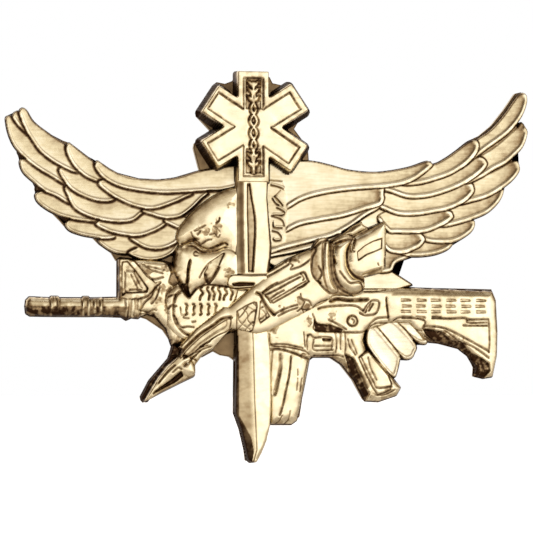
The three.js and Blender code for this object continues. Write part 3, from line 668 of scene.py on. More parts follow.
MAGWELL_LINES = [
    [(0, -9), (0.1, -10.2), (0.7, -10.6), (2.3, -10.7), (4.4, -11.1), (5.4, -11.7)],
    [(0.2, -10.4), (2.1, -10.4), (4.5, -10.9)],
    [(4.6, -8.8), (4.8, -10.7)],
    [(5.1, -9.2), (5.5, -9.1), (6, -9.5), (6.9, -9.4), (8.3, -9.5), (8.4, -10.2), (8.3, -11.1)],
    [(5.1, -9.2), (5, -10), (5.1, -11.1)],
    [(5.9, -9.7), (5.9, -11.1), (7.3, -11.2), (8.5, -11.1)],
    [(6, -10.6), (7.1, -10.6), (8.3, -10.6)],
    [(8.8, -8.8), (9, -10.2), (8.9, -11.5)],
    [(9.5, -8.8), (9.5, -11)],
    [(10.1, -8.7), (10.2, -10.2), (10.1, -11.8)],
    [(6, -11.8), (7.8, -11.8), (9, -11.8), (9.9, -12)],
    [(0.2, -11.1), (1.4, -11), (3.2, -11.5), (4.4, -12), (5.4, -12.3)],
]
TRIGGER_HOLE = [(7.06, -9.56), (8.32, -9.61), (8.21, -9.9), (7.17, -9.9)]
MAGAZINE = [
    (-1.3, -11), (1.4, -10.9), (3.2, -11.4), (5.4, -12.3), (5.1, -14), (4.7, -15.8), (4.3, -18.5),
    (3.9, -20.3), (3.1, -20.9), (0.1, -20.8), (-1.3, -19.8),
]
MAG_GROOVE_WIDE = [(1.5, -11.8), (1.5, -13.3), (1.1, -15.3), (0.7, -16.9)]
MAG_GROOVE = [(2.9, -12), (2.7, -14), (2.2, -16.4), (1.8, -18.3), (1.4, -19.7)]
MAG_LINES = [
    [(3.8, -13.7), (3.8, -14.4)],
    [(3.8, -14.9), (3.7, -16.4)],
    [(4.4, -14.9), (4.2, -16.6)],
    [(2.8, -19.2), (2.6, -20.2), (2.1, -20.8)],
    [(1.7, -19.8), (1.4, -20.4), (0.9, -20.8)],
    [(0.4, -11.2), (0.2, -14.9), (0.3, -17.5), (0.2, -20.8)],
]
PISTOL_GRIP_SIDE = [
    (10.2, -11.7), (11.2, -12.2), (12.3, -14.7), (13.4, -16.9), (13, -17.7), (12.3, -17.4),
    (11, -14.7),
]
PISTOL_GRIP_PANEL = [
    (11.94, -12.11), (13.18, -11.08), (14.34, -12.54), (15.94, -14.4), (16.4, -15.55),
    (16.22, -16.34), (15.35, -16.76), (14.47, -16.98), (13.82, -16.12), (12.88, -14.26),
]
PISTOL_GRIP_LINES = [
    [(12.3, -12.1), (13, -13.6), (13.9, -15.3), (14.4, -16.1), (16.3, -15.9)],
    [(13.2, -12.1), (13.6, -13.6), (14.3, -15)],
    [(13.1, -10.7), (13.7, -11.1), (14.4, -12.4), (15.4, -13), (16.3, -14.4), (17.1, -15.4)],
    [(14.4, -17.1), (15.6, -17), (16.8, -16.4)],
    [(10.5, -9.7), (10.8, -10.7), (11.5, -11.7)],
    [(11, -9.8), (11.4, -10.7), (11.7, -11.5)],
    [(12.8, -9.1), (12.9, -9.8), (13.3, -10.7), (14.1, -11.2)],
    [(11.4, -12.4), (12.3, -14.3), (13.1, -16.1)],
]
STOCK_BAND = [(16.3, -2.7), (30.1, -3.1), (30.1, -3.9), (27.2, -4.1), (16.3, -4)]
STOCK_LINES = [
    [(21.9, -6.8), (24.2, -6.9), (26.2, -6.8), (26.9, -7), (29.2, -7), (29.6, -7.3), (29.7, -10.1),
     (29.6, -11.4)],
    [(20.8, -7.9), (23.2, -8.1), (25.6, -9.1), (29.5, -11.2)],
    [(26.6, -7), (26.9, -7.5), (29.4, -7.4)],
    [(26.1, -7.8), (29.4, -7.8)],
    [(23.6, -8.5), (25.6, -9.9), (27.5, -10.7), (29.6, -12.1)],
    [(16.7, -7.2), (17.6, -6.8), (20.5, -7), (20.9, -7.5), (20.6, -8.3)],
    [(18.9, -7.8), (19.5, -8.3), (20.5, -8.5)],
    [(15.7, -4.1), (15.8, -5.6), (16.1, -7.2)],
    [(19.3, -8.1), (19.7, -9.2), (20.2, -9.9)],
    [(20.9, -9.2), (21.8, -9.8), (22.7, -9.9)],
]
STOCK_HOLLOW = [
    (20.7, -8.3), (23.2, -8.6), (24.6, -9.7), (25.9, -9.9), (27.5, -11.5), (29.6, -12.8), (29.8, -13.7),
    (29.1, -14.8), (27.5, -14.6), (27.8, -13.6), (27.5, -12.5), (26.1, -11), (24.8, -10.7),
    (22.6, -10.2), (22.1, -9.8), (21.2, -9.1),
]
STOCK_LUMPS = [(20.5, -8.6), (21.2, -9.8), (25.5, -10.7)]
STOCK_TOE = [(27.4, -12.5), (28, -13), (28.2, -13.7), (27.5, -14.4), (27.8, -13.6)]
# --- tail
TAIL_LEAVES = [
    [(19.1, -7.2), (19.9, -7.2), (20.9, -8.5), (21.4, -10.1), (20.4, -10.2), (19.1, -9.5),
     (16.9, -7.6), (17, -6.9)],
    [(14.1, -7.9), (15.3, -7.2), (16.9, -7.2), (19.8, -10.2), (19.7, -11.5), (19.2, -12.2), (18.3, -12.3),
     (17.5, -11.8), (15.6, -10.1)],
    [(13.1, -9.1), (13.5, -8), (14.3, -7.9), (17.6, -11.8), (17.7, -12.4), (17.4, -13.8),
     (17, -14.7), (16.2, -14.4), (14.7, -12.7), (13.3, -10.7)],
]
# --- lance
LANCE = [
    (-16.6, -17.9), (-16.1, -17), (-15, -15.7), (-13.5, -13.7), (-12.3, -12.4), (-12.7, -11.6),
    (-11.6, -10.3), (-9.9, -8.4), (-6.1, -5.4), (-5.5, -5.5), (-1.9, -2.4), (-0.4, -0.9), (2.4, 0.9),
    (5.5, 2.2), (6.4, 3.6), (7.5, 3.8), (8, 3.3), (9.9, 4.3), (11.3, 5.4), (12.1, 5.7), (13.3, 5.1),
    (15.5, 6), (15.6, 0), (14.8, -0.9), (12.7, -1.5), (12.8, -2.7), (12.4, -3.5), (11.2, -4.1), (8.7, -3.9),
    (7.6, -4.7), (3.8, -6.7), (-0.1, -8.7), (-1.8, -9.1), (-5.1, -8.4), (-7.3, -10.9), (-8.9, -11.9),
    (-9.8, -13.1), (-9.8, -14.5),
]
SPEAR_HEAD = [
    (-16.5, -17.9), (-16.3, -17.5), (-15.4, -15.9), (-14.7, -14.8), (-13.5, -13.3), (-12.1, -12),
    (-11.2, -11.8), (-10.7, -12), (-9.6, -12.5), (-10, -13.3), (-9.8, -14.2), (-9.9, -14.6),
    (-13.5, -16.3), (-16, -17.7),
]
SPEAR_SKIRT = [
    (-16.7, -17.7), (-16.8, -17.3), (-15.7, -15.2), (-13.2, -12.3), (-12.8, -11.1), (-12.6, -10.2),
    (-11.6, -11.1), (-12.7, -14), (-16, -17.9),
]
SPEAR_RIDGE = [(-16.2, -17.5), (-14.7, -15.8), (-13.5, -14.5), (-11.9, -13), (-11.3, -12.5)]
SPEAR_SLOT = [
    (-15.23, -16.73), (-14.45, -16.06), (-12.99, -15.06), (-11.65, -13.94), (-11.42, -14.5),
    (-12.54, -15.4), (-13.89, -16.06), (-14.9, -16.63),
]
SPEAR_LOBE = [
    (-11.4, -13), (-10.4, -12.5), (-9.9, -13.3), (-9.8, -14.2), (-10.7, -14.5), (-11.4, -13.9),
]
SPEAR_LINES = [
    [(-12.8, -14.1), (-12.1, -13.5), (-11.6, -13.7)],
    [(-14.7, -15.4), (-13.5, -13.9), (-12.6, -13.1)],
    [(-15.3, -16.9), (-15, -16.5), (-14.6, -16.4)],
    [(-13.4, -11.9), (-12.8, -12), (-12.1, -11.9)],
    [(-10.7, -12.8), (-9.9, -11.9), (-9, -11.1), (-7.8, -10.7)],
    [(-9.9, -11.5), (-9.3, -11.3)],
    [(-10.4, -12.3), (-9.8, -11.8)],
    [(-11.4, -12.3), (-10, -11.5), (-9, -10.6), (-8, -10)],
    [(-9.2, -10.8), (-8.3, -10.6)],
]
SHAFT_DARK_LINE = [
    (-5.22, -6.85), (-6.47, -7.14), (-7.6, -7.99), (-9.18, -9.01), (-10.42, -10.13), (-11.21, -10.92),
    (-11.71, -11.59), (-11.88, -11.98),
]
SHAFT_SLOT = [
    (-5.27, -6.97), (-5.22, -7.98), (-5.56, -8.65), (-7.03, -9.33), (-8.5, -10.35), (-9.8, -11.3),
    (-10.98, -12.1), (-11.54, -11.93), (-10.75, -10.92), (-9.18, -9.46), (-7.37, -8.16),
    (-6.24, -7.42),
]
SHAFT_SLOT_LINES = [(-5.73, -7.31), (-5.85, -8.15), (-7.37, -9), (-9.18, -10.3), (-11.2, -12.15)]
SHAFT_STEP = [
    (-13, -11.82), (-11.99, -11.59), (-10.75, -10.35), (-9.62, -9.23), (-7.82, -7.65),
    (-6.24, -6.53), (-4.77, -5.51),
]
WINDOW_FRAMES = [
    [(-4.6, -6), (-3.3, -5.2), (-2.2, -4.7), (-1.7, -4.8), (-1.6, -5.5), (-2, -7.9), (-2.2, -8.7),
     (-3.7, -9.4), (-4.6, -9.3)],
    [(-1.5, -4.7), (-1.1, -4.4), (-0.2, -6.2), (0.1, -6.8), (-1.4, -7.9), (-1.7, -7.1)],
]
DIAGONAL_BAND = [(-1.8, -3.62), (-1.31, -3.9), (-0.91, -4.75), (-0.34, -5.64), (0.46, -6.49)]
BODY_PANEL = [
    (-1.08, -3.62), (0.34, -2.71), (3.08, -1.45), (4.23, -0.93), (4.63, -0.99), (5.09, -2.06),
    (3.77, -2.97), (1.95, -4), (0.34, -4.91),
]
BODY_LINES = [
    [(-0.6, -4.1), (-0.3, -4.4), (0, -4.9)],
    [(-0.6, -3.9), (1, -3.1), (2.6, -2.2), (4, -1.5)],
    [(0.2, -4.7), (1.9, -3.7), (3.6, -2.7), (4.7, -2.1)],
    [(4, -1.1), (4.4, -1.6), (4.3, -2)],
    [(4.4, -0.9), (4.7, -1.4), (4.9, -2)],
    [(-1.1, -3.7), (-0.2, -2.9), (0.9, -2.3)],
    [(0, -4.4), (0.8, -3.8), (1.8, -3.3)],
    [(0.5, -6.5), (1.3, -6), (2.6, -5.5), (3.6, -5.2)],
    [(1, -6.7), (2.4, -6), (3.6, -5.6)],
    [(3.9, -4.3), (4.5, -4.8), (4.2, -5.7), (4.9, -5.9)],
    [(4, -3.8), (4.2, -4.4), (5.1, -4.7), (5.5, -5.3)],
    [(3.6, -6.1), (4.2, -5.7), (4.5, -6.3)],
    [(3.6, -3), (4.2, -2.8), (4.7, -2.4)],
    [(5.7, -5.5), (6.5, -4.9), (7.6, -4.5)],
    [(-0.5, -1.5), (0.8, -0.8), (2.4, 0.2), (2.6, 0.8)],
    [(2.7, 1.5), (3.7, 1.7), (5.8, 2.2)],
    [(0.5, 0.8), (1.2, 1), (2, 1.2)],
    [(2.7, 0.3), (2.9, 0), (2.7, -0.5), (4, -0.1), (5.3, 0.8)],
]
COLLAR_LINES = [
    [(5.6, 2.6), (6, 2.1), (5.5, 0.9), (5.5, -0.8), (6, -1.8), (6.7, -2.3)],
    [(5.6, 2.7), (6.3, 3.5), (7.3, 3.8), (7.9, 3.3)],
    [(6, 2.5), (6.7, 3.1), (7.7, 3.3)],
    [(6.4, -0.1), (6.8, -1), (6.4, -2), (7.1, -3), (8, -3.7)],
    [(8, 3.2), (8, 1.8), (8.1, -0.1), (8.3, -1.3), (8.7, -2.4), (9.6, -3.3), (11, -4)],
    [(8.4, 1.2), (8.6, 0.4)],
    [(10.7, 2.8), (10.3, 1.8), (10.4, 0.3), (10.7, -0.6), (11.3, -1.3), (12.5, -2), (12.7, -2.8),
     (12.4, -3.3)],
    [(9.2, -0.8), (9.9, -1.7), (10.6, -2.3), (11.7, -2.1), (12.1, -2.3), (12.3, -3.1)],
    [(8.1, 3), (9, 3.8), (10, 4.2), (11.1, 3.8)],
    [(8, 3.2), (8.5, 2.9), (10, 3.4)],
    [(8, -4.7), (8.9, -4.4), (10.6, -4.1), (11.2, -4.1)],
]
BODY_SHADE_AND_WEAR_PATCHES = [(3.9, -4.7, 0.5), (4.9, -5.4, 0.5), (3.5, 0.7, 0.4), (2.1, 0.6, 0.4), (1.6, -5.8, 0.4)]
COLLAR_SHADE = [(5.5, 2.8), (7.1, 2.9), (7.1, 0.3), (7.4, -2), (6, -1.8), (5.4, -0.2)]
COLLAR_FOOT_SHADE = [(8.1, -1.4), (8.8, -1.3), (9.4, -2.6), (10.7, -3.8), (10.2, -4.2), (8.8, -3.5), (8.2, -2.4)]
COLLAR_ONE = [
    (7.1, 2.9), (7.9, 3.1), (7.9, 1.5), (8, -0.4), (8.3, -2), (8.9, -3.3), (8, -3.5), (7.3, -2.2),
    (7, -0.1),
]
COLLAR_TWO = [
    (8.5, 2.7), (10.7, 3.4), (10.3, 1.9), (10.3, 0.3), (10.7, -0.7), (11.3, -1.4), (12.5, -2.1),
    (12.5, -3), (11, -3.6), (9.6, -2.9), (8.7, -1.5), (8.4, 0.3),
]
HEAD = [
    (11.1, 3.7), (13.4, 4.9), (15.1, 5.9), (15.6, 5.9), (15.6, 1.6), (15.4, -0.6), (14.7, -0.9),
    (12.4, -1.4), (11.3, -1.2), (10.7, -0.6), (10.4, 0.4), (10.4, 1.8), (10.7, 2.8),
]
HEAD_WINDOW = [
    (11.53, 1.79), (12.57, 2.66), (13.61, 3.23), (14.89, 3.64), (14.83, 2.28), (13.84, 1.86),
    (12.8, 1.46), (11.64, 0.65),
]
HEAD_SHADE = [
    (12.22, -1.28), (12.33, -1.05), (13.6, -0.59), (14.88, -0.18), (14.76, -0.69), (13.49, -1.15),
]
HEAD_LINES = [
    [(15.5, 5.8), (15.6, 4.5), (15.5, 2.7), (15.4, 1.4)],
    [(15.3, 1), (15.4, -0.4)],
    [(11.2, 3.9), (12.4, 4.4), (13.4, 4.9), (15, 5.8)],
    [(12.3, 5.5), (12.7, 5.2), (13.3, 4.9)],
    [(14.3, 0.3), (14.4, 0.1)],
    [(11.2, 3.4), (10.9, 2.2), (11.1, 1.9)],
]
SWOOSH = [
    (9.8, 4.2), (10.7, 4.8), (11.6, 5.5), (12.4, 5.9), (12.5, 5.6), (12.9, 5.1), (12.5, 4.7), (11.1, 4),
    (10.5, 4.1),
]

WING_FACE = 2.2  # feather rims


def wing(x_range, z_range, core, feathers, rim_width, dish, near_shade, far_shade, shadow_line_width, engraving=()):
    """Overlapping dished feathers, each with a bright rim along its tip and lower edge.

    near_shade paints shade on a feather behind its rim near the tip, far_shade towards its root; a painted shadow line
    shadow_line_width wide runs under each feather's lower edge.
    """
    relief = Relief(x_range, z_range, PLATE_FRONT)
    relief.lay(relief.signed(core), WING_FACE - 0.35)
    # painted shade on the core, heavier out towards the wing tips
    relief.mark(0.08 + 0.35 * step(np.abs(relief.x) - 20, 3))
    for outline in feathers:
        curve = spline(outline)
        root = int(np.argmax(np.hypot(*(curve - curve[0]).T)))
        lower_edge = np.vstack([curve[-5:], curve[:root]])
        d = relief.signed(curve, margin=3)
        behind = np.clip(relief.off(lower_edge, margin=8) - rim_width, 0, FAR)
        far = 1 - np.exp(-behind / 1.6)
        top = WING_FACE - dish * step(behind - 0.12, 0.45) - 0.16 * far
        relief.lay(d, top + 0.05 * bump(behind, 0, 0.1), soft=0.1)
        # painted shade on each feather: near_shade just behind the rim near the tip, far_shade towards the root
        from_tip = np.hypot(relief.x - curve[0, 0], relief.z - curve[0, 1])
        tone = near_shade * step(behind - 0.15, 0.4) * np.exp(-behind / 1.3 - from_tip / 9) + far_shade * far
        relief.mark(tone * step(d, 0.1))
        # a painted shadow line just under each feather's lower edge
        below = relief.off(lower_edge, margin=1)
        relief.mark(bump(below, 0.6 * shadow_line_width, shadow_line_width) * (d < 0))
    if engraving:
        field = relief.signed(ENGRAVED_FIELD)
        relief.lay(field, WING_FACE - 0.14, soft=0.4, grow=False)
        # painted shade on the sunk engraved field
        relief.mark(0.2 * step(field + 0.1, 0.5))
    for line in engraving:
        # each engraved line is a groove painted dark as shade, with a ridge beside it
        relief.groove(spline(line, closed=False), 0.2, 0.12, 0.85)
        relief.ridge(spline(line, closed=False) + (0.12, 0.16), 0.12, 0.1)
    relief.round_rim(0.2, 0.15)
    relief.settle(waves=0.004, uneven=0.5)
    return relief


# ------------------------------------------------------------------ star

STAR_TOP = 4.15
STAR_CENTRE = (-2.27, 18.17)
STAR_HALF_WIDTH = 2.13
# direction and length of each arm
STAR_ARMS = [(90, 7.45), (33.5, 7.5), (-33.5, 7.4), (-90, 7.35), (-147.5, 6.85), (147, 6.85)]
# the raised panel inside the rim
PANEL_ARMS = [(90, 6.5), (32.8, 6.65), (-34, 6.5), (-90, 6.5), (-148, 6.35), (147, 6.35)]
PANEL_HALF_WIDTH = 1.33


def star_outline(arms, half_width):
    points = []
    for k, (degrees, length) in enumerate(arms):
        angle = math.radians(degrees)
        c, s = math.cos(angle), math.sin(angle)
        for side in (half_width, -half_width):
            points.append((STAR_CENTRE[0] + c * length - s * side, STAR_CENTRE[1] + s * length + c * side))
        turn = math.radians((degrees - arms[(k + 1) % 6][0]) % 360) / 2
        reach = half_width / math.sin(turn)
        points.append((
            STAR_CENTRE[0] + math.cos(angle - turn) * reach, STAR_CENTRE[1] + math.sin(angle - turn) * reach,
        ))
    return points


def leaf(root, degrees, length, half_width):
    """Pointed oval from its root."""
    angle = math.radians(degrees)
    along, across = np.array((math.cos(angle), math.sin(angle))), np.array((-math.sin(angle), math.cos(angle)))
    t = np.linspace(0, 1, 9)
    bulge = np.sin(np.pi * t**0.8) * half_width
    up = [root + along * length * a + across * b for a, b in zip(t, bulge)]
    down = [root + along * length * a - across * b for a, b in zip(t, bulge)]
    return up + down[-2:0:-1]


def star():
    relief = Relief((-11, 7), (9.5, 27.5), PLATE_FRONT)
    cx, cz = STAR_CENTRE
    d = relief.signed(star_outline(STAR_ARMS, STAR_HALF_WIDTH))
    d = np.where(d > -1.5, blurred(d, 0.09), d)
    relief.lay(d, STAR_TOP)
    panel = relief.signed(star_outline(PANEL_ARMS, PANEL_HALF_WIDTH))
    # the panel's outline is a groove painted as a shade line, heavier on its upper and right sides
    slope_z, slope_x = np.gradient(blurred(panel, 0.1))
    shaded = np.clip(-(slope_x + slope_z) / (np.hypot(slope_x, slope_z) + 1e-9), 0, 1)  # upper and right sides
    line = bump(panel, 0.06 * shaded, 0.07 + 0.07 * shaded)
    relief.h -= 0.2 * line
    relief.mark((0.65 + 0.3 * shaded) * line)
    for low, high in ((2.4, 6.3), (-6.1, -2.9)):
        field = [(cx - 1.0, cz + low), (cx + 1.0, cz + low), (cx + 1.0, cz + high), (cx - 1.0, cz + high)]
        # the sunk fields are painted with shade
        relief.sink(relief.signed(field), 0.24, soft=0.2, shade_and_mottle=0.35)

    # two plain strands twined up the middle, with leaf pairs at both ends
    height = np.linspace(-6, 5.8, 60)
    shape = -1.0
    for side in (1, -1):
        sway = side * 0.42 * np.sin(1.9 * height) * (0.6 + 0.4 * np.cos(0.5 * height))
        shape = np.maximum(shape, 0.15 - relief.off(np.stack([cx + sway, cz + height], 1)))
    for z in (-5.3, -4.2, 3.3, 4.4, 5.3):
        for degrees in (48, 132):
            shape = np.maximum(shape, relief.signed(leaf(np.array((cx, cz + z)), degrees, 1.1, 0.22)))
    # painted shade round the raised strands and leaves, which are themselves kept almost free of it
    relief.mark(0.95 * bump(shape, -0.13, 0.12))
    relief.h -= 0.12 * bump(shape, -0.13, 0.13)
    relief.h += 0.26 * step(shape, 0.16)
    relief.shade_and_mottle *= 1 - 0.8 * step(shape, 0.12)
    relief.round_rim(0.2, 0.16)
    relief.settle()
    return relief


# ------------------------------------------------------------------ skull

def skull():
    relief = Relief((-14.8, -2.2), (-11, 11.4), PLATE_FRONT)
    relief.dome(spline(SKULL), 2.75, 3.35, 0.8)
    relief.groove(spline(JAW_EDGE, closed=False), 0.3, 0.18, 0.85)
    cheek = relief.dome(spline(CHEEK), 2.9, 3.5, 0.9)
    # painted shade line along the cheek's edge below the brow
    relief.mark(0.85 * bump(cheek, -0.08, 0.12) * (relief.z < 2))
    # painted shade, streaked, over the left side of the cheek
    streaks = 0.75 + 0.25 * np.sin(9 * relief.x + np.sin(2 * relief.z))
    relief.mark(0.5 * streaks * bump(cheek, 0.35, 0.65) * step(-9.9 - relief.x, 1.4))
    # painted shade line along the cheek's lower left edge
    relief.mark(0.9 * bump(cheek, 0.02, 0.2) * (relief.x < -9.6) * (relief.z < -2.2))
    crown = relief.dome(spline(CRANIUM), 3.0, 3.85, 1.9)
    # painted shade along the crown's left side, inside its edge
    relief.mark(0.33 * bump(crown, 0.4, 0.6) * (relief.x < -5))
    relief.groove(spline(BAND_SHADOW, closed=False), 0.2, 0.1, 0.85)
    relief.ridge(spline(BROW, closed=False), 0.16, 0.13)
    relief.groove(spline(BAND_SHADOW[:4], closed=False), 0.25, 0.2)
    # the cheek slot is sunk and painted black as shadow
    relief.sink(relief.signed(spline(CHEEK_SLOT)) + 0.06, 0.4, shade_and_mottle=1.0)
    relief.groove(spline(CHEEK_HOOK, closed=False), 0.3, 0.24, 1.0)
    nose = relief.signed(spline(NOSE))
    # the nose is sunk and painted with shade, with a shade line round it
    relief.sink(nose, 0.15, shade_and_mottle=0.3)
    relief.mark(0.85 * bump(nose, 0.02, 0.1))
    relief.groove(spline(NOSE_INNER[3:], closed=False), 0.25, 0.2, 0.9)
    angles = np.linspace(0.2, 2 * math.pi - 0.8, 10)
    relief.groove([(-9.75 + 0.3 * math.cos(a), 1.5 + 0.3 * math.sin(a)) for a in angles], 0.14, 0.09)
    for line in SKULL_LINES:
        relief.groove(spline(line, closed=False))
    for line in UPPER_TEETH + LOWER_TEETH:
        relief.groove(spline(line, closed=False), 0.32, 0.13, 0.95)
    for x, z, size in SHADE_AND_WEAR_PATCHES:
        relief.shade_and_wear_patch(x, z, size)
    relief.round_rim(0.3, 0.25)
    relief.settle()
    return relief


# ------------------------------------------------------------------ dagger

GRIP_TOP = 3.8
BLADE_TOP = 3.35


def dagger():
    relief = Relief((-6.5, 3), (-27.5, 13), PLATE_FRONT)
    x, z = relief.x, relief.z
    grip, blade = z > -1.4, z < -3.2
    relief.lay(relief.signed(DAGGER), GRIP_TOP - (GRIP_TOP - BLADE_TOP) * step(-2.9 - z, 0.6))

    # grip: side facet, plain strip, long groove, broad strip; painted shade on the side facet, in the groove and along
    # the right edge
    left_of = relief.signed(GRIP_LEFT + [(-8, -1.13), (-8, 12.12)]) > 0
    relief.h -= 0.5 * np.minimum(relief.off(GRIP_LEFT, 6), 1.4) * (left_of & grip)
    relief.mark((0.28 + 0.34 * bump(relief.off(GRIP_LEFT, 6), 0.35, 0.3)) * (left_of & grip))
    trough = relief.signed(GRIP_GROOVE_LEFT + GRIP_GROOVE_RIGHT[::-1])
    relief.sink(trough, 0.28, soft=0.25, shade_and_mottle=0.38)
    relief.groove(spline(GRIP_GROOVE_RIGHT, closed=False), 0.2, 0.14)
    relief.groove(spline(GRIP_GROOVE_LEFT, closed=False), 0.14, 0.1, 0.7)
    right_of = relief.signed(GRIP_RIGHT + [(5, -0.73), (5, 12.12)]) > 0
    relief.h -= 0.9 * np.minimum(relief.off(GRIP_RIGHT, 6), 1) * (right_of & grip)
    relief.mark(0.5 * step(0.45 - relief.off(GRIP_RIGHT, 6), 0.5) * (right_of & grip))
    relief.mark(0.85 * bump(relief.off(GRIP_RIGHT, 6), 0.05, 0.1) * grip)

    # guard
    relief.groove(GUARD_TOP, 0.22, 0.12)
    relief.groove(spline(GUARD_LOW, closed=False), 0.2, 0.14)
    # the guard slot is sunk and painted black as shadow
    relief.sink(relief.signed(GUARD_SLOT), 0.5, shade_and_mottle=1.0)

    # blade: two flanks, and a ground edge all round; painted shade on the left flank and on the left edge
    right_flank = relief.signed(BLADE_RIDGE + [(4, -26.13), (4, -8.55)]) > 0
    relief.h -= 0.10 * relief.off(BLADE_RIDGE, 6) * (right_flank & blade)
    relief.h -= 0.16 * relief.off(BLADE_RIDGE, 6) * (~right_flank & blade)
    relief.mark(0.42 * step(relief.off(BLADE_RIDGE, 6) - 0.3, 1.0) * (~right_flank & blade))
    relief.groove(BLADE_RIDGE, 0.06, 0.1, 0.75)
    left_edge = relief.signed(BLADE_LEFT + [(-8, -26.13), (-8, -9.22)]) > 0
    relief.h -= 0.6 * relief.off(BLADE_LEFT, 6) * (left_edge & blade)
    relief.mark(0.75 * (left_edge & blade))
    right_edge = relief.signed(BLADE_RIGHT + [(4, -25.87), (4, -9.22)]) > 0
    relief.h -= 0.5 * relief.off(BLADE_RIGHT, 6) * (right_edge & blade)
    relief.round_rim(0.15, 0.12)
    relief.settle(uneven=0.2)
    return relief


# ------------------------------------------------------------------ rifle

def rifle():
    relief = Relief((-33.5, 32), (-22, 2.5), PLATE_FRONT)
    x, z = relief.x, relief.z
    body = relief.signed(RIFLE)
    relief.lay(body, 2.15 + 0.65 * (1 - np.exp(-np.clip(body, 0, FAR) / 0.5)))

    # barrel and its rings; painted shade, streaked, over the barrel's lower half, kept off the rings, with a shade line
    # beside each ring
    crest = relief.off(spline(BARREL_CREST, closed=False), 4)
    barrel = (x < -17.5) & (z < -4)
    relief.h = np.where(barrel, np.minimum(relief.h, 2.9 - 0.30 * crest**2), relief.h)
    streak = 0.6 + 0.4 * np.sin(2.9 * x + 3 * np.sin(1.7 * x))
    relief.mark((0.58 + 0.36 * streak) * step(-5.45 - z, 0.3) * (z > -7.5) * (x < -18.5))
    for line in BARREL_RINGS:
        relief.ridge(line, 0.2, 0.14)
        relief.shade_and_mottle *= 1 - 0.7 * bump(relief.off(line), 0, 0.15)
        relief.mark(0.6 * bump(relief.off(line), 0.28, 0.1))

    # front sight
    house = relief.signed(SIGHT_HOUSE)
    relief.lay(house, 2.85, grow=False)
    window = relief.signed(SIGHT_WINDOW)
    # painted shade in the sunk window and along the window's and the house's edges
    relief.sink(window, 0.3, shade_and_mottle=0.25)
    relief.mark(0.8 * bump(window, 0, 0.12))
    relief.mark(0.8 * bump(house, -0.08, 0.12))
    for line in SIGHT_LINES:
        relief.groove(spline(line, closed=False), 0.2, 0.12, 0.8)
    # the hollows are sunk and painted dark as shade
    relief.sink(relief.signed(GUARD_HOLLOW), 0.6, soft=0.25, shade_and_mottle=1.0)
    relief.sink(relief.signed(SIGHT_HOLLOW), 0.3, soft=0.5, shade_and_mottle=0.62)

    # receiver, magazine well and trigger guard
    relief.groove(spline(RECEIVER_LINES[0], closed=False), 0.3, 0.24)
    for line in RECEIVER_LINES[1:]:
        relief.groove(spline(line, closed=False), 0.2, 0.12, 0.85)
    # ragged patches, painted partly as shade and partly as wear
    for place in RIFLE_SHADE_AND_WEAR_PATCHES:
        relief.shade_and_wear_patch(*place)
    # the receiver's shade patch is sunk and painted dark as shade
    relief.sink(relief.signed(RECEIVER_SHADE), 0.35, soft=0.2, shade_and_mottle=0.9)
    pin = np.hypot(x - 11.1, z + 7.25)
    relief.h += 0.16 * step(0.62 - pin, 0.15) - 0.18 * bump(pin, 0.68, 0.1)
    # painted shade ring round the pin
    relief.mark(0.85 * bump(pin, 0.68, 0.11))
    relief.groove([(11.0, -7.0), (11.35, -7.2), (11.2, -7.6)], 0.15, 0.1, 0.8)
    for line in MAGWELL_LINES:
        relief.groove(spline(line, closed=False), 0.18, 0.11, 0.85)
    # the trigger hole is painted dark as shade
    relief.sink(relief.signed(TRIGGER_HOLE), 0.3, shade_and_mottle=0.9)

    # magazine
    magazine = relief.signed(MAGAZINE)
    relief.h = np.where(magazine > 0, relief.h - 0.12 * np.exp(-magazine / 0.25), relief.h)
    relief.groove(spline(MAG_GROOVE_WIDE, closed=False), 0.28, 0.26, 0.6)
    relief.groove(spline(MAG_GROOVE, closed=False), 0.24, 0.13, 0.8)
    for line in MAG_LINES:
        relief.groove(spline(line, closed=False), 0.16, 0.1, 0.8)

    # pistol grip
    # the grip's side is sunk and painted dark as shade, with a painted shade line round the panel
    relief.sink(relief.signed(PISTOL_GRIP_SIDE), 0.5, soft=0.3, shade_and_mottle=0.9)
    panel = relief.signed(PISTOL_GRIP_PANEL)
    relief.lay(panel, 2.95, soft=0.2, grow=False)
    relief.mark(0.85 * bump(panel, 0, 0.11))
    relief.h -= 0.15 * bump(panel, 0, 0.12)
    for line in PISTOL_GRIP_LINES:
        relief.groove(spline(line, closed=False), 0.18, 0.12, 0.85)

    # stock: sloped top, four rows of ribs, sunk lower panel, hollow under the comb
    band = relief.signed(STOCK_BAND)
    relief.h -= 0.15 * np.clip(band, 0, 0.6) * step(z + 3.9, 0.8)
    # painted shade on the stock's sloped top band
    relief.mark(0.3 * step(band - 0.1, 0.4))
    for row, height in enumerate((-4.45, -5.25, -6.0, -6.75)):
        for k in range(6):
            left = 17.7 + k * 2.02
            shift = 0.12 * ((row + k) % 2)
            if row < 3 or k < 3:
                for lift in (0.12, -0.12):
                    relief.groove(
                        [(left + shift, height + lift), (left + 1.25 + shift, height + lift * 0.6)], 0.14, 0.08, 0.85,
                    )
    for line in STOCK_LINES:
        relief.groove(spline(line, closed=False), 0.2, 0.12, 0.85)
    # the hollow is sunk and painted dark as shade
    relief.sink(relief.signed(STOCK_HOLLOW), 0.55, soft=0.3, shade_and_mottle=0.9)
    relief.ridge(spline(STOCK_TOE, closed=False), 0.4, 0.22)
    relief.round_rim(0.3, 0.28)
    relief.settle()
    relief.h -= 0.9 * step(relief.signed(spline(SKULL)) - 0.5, 0.3)  # room for the skull's deep grooves
    return relief


# ------------------------------------------------------------------ tail feathers

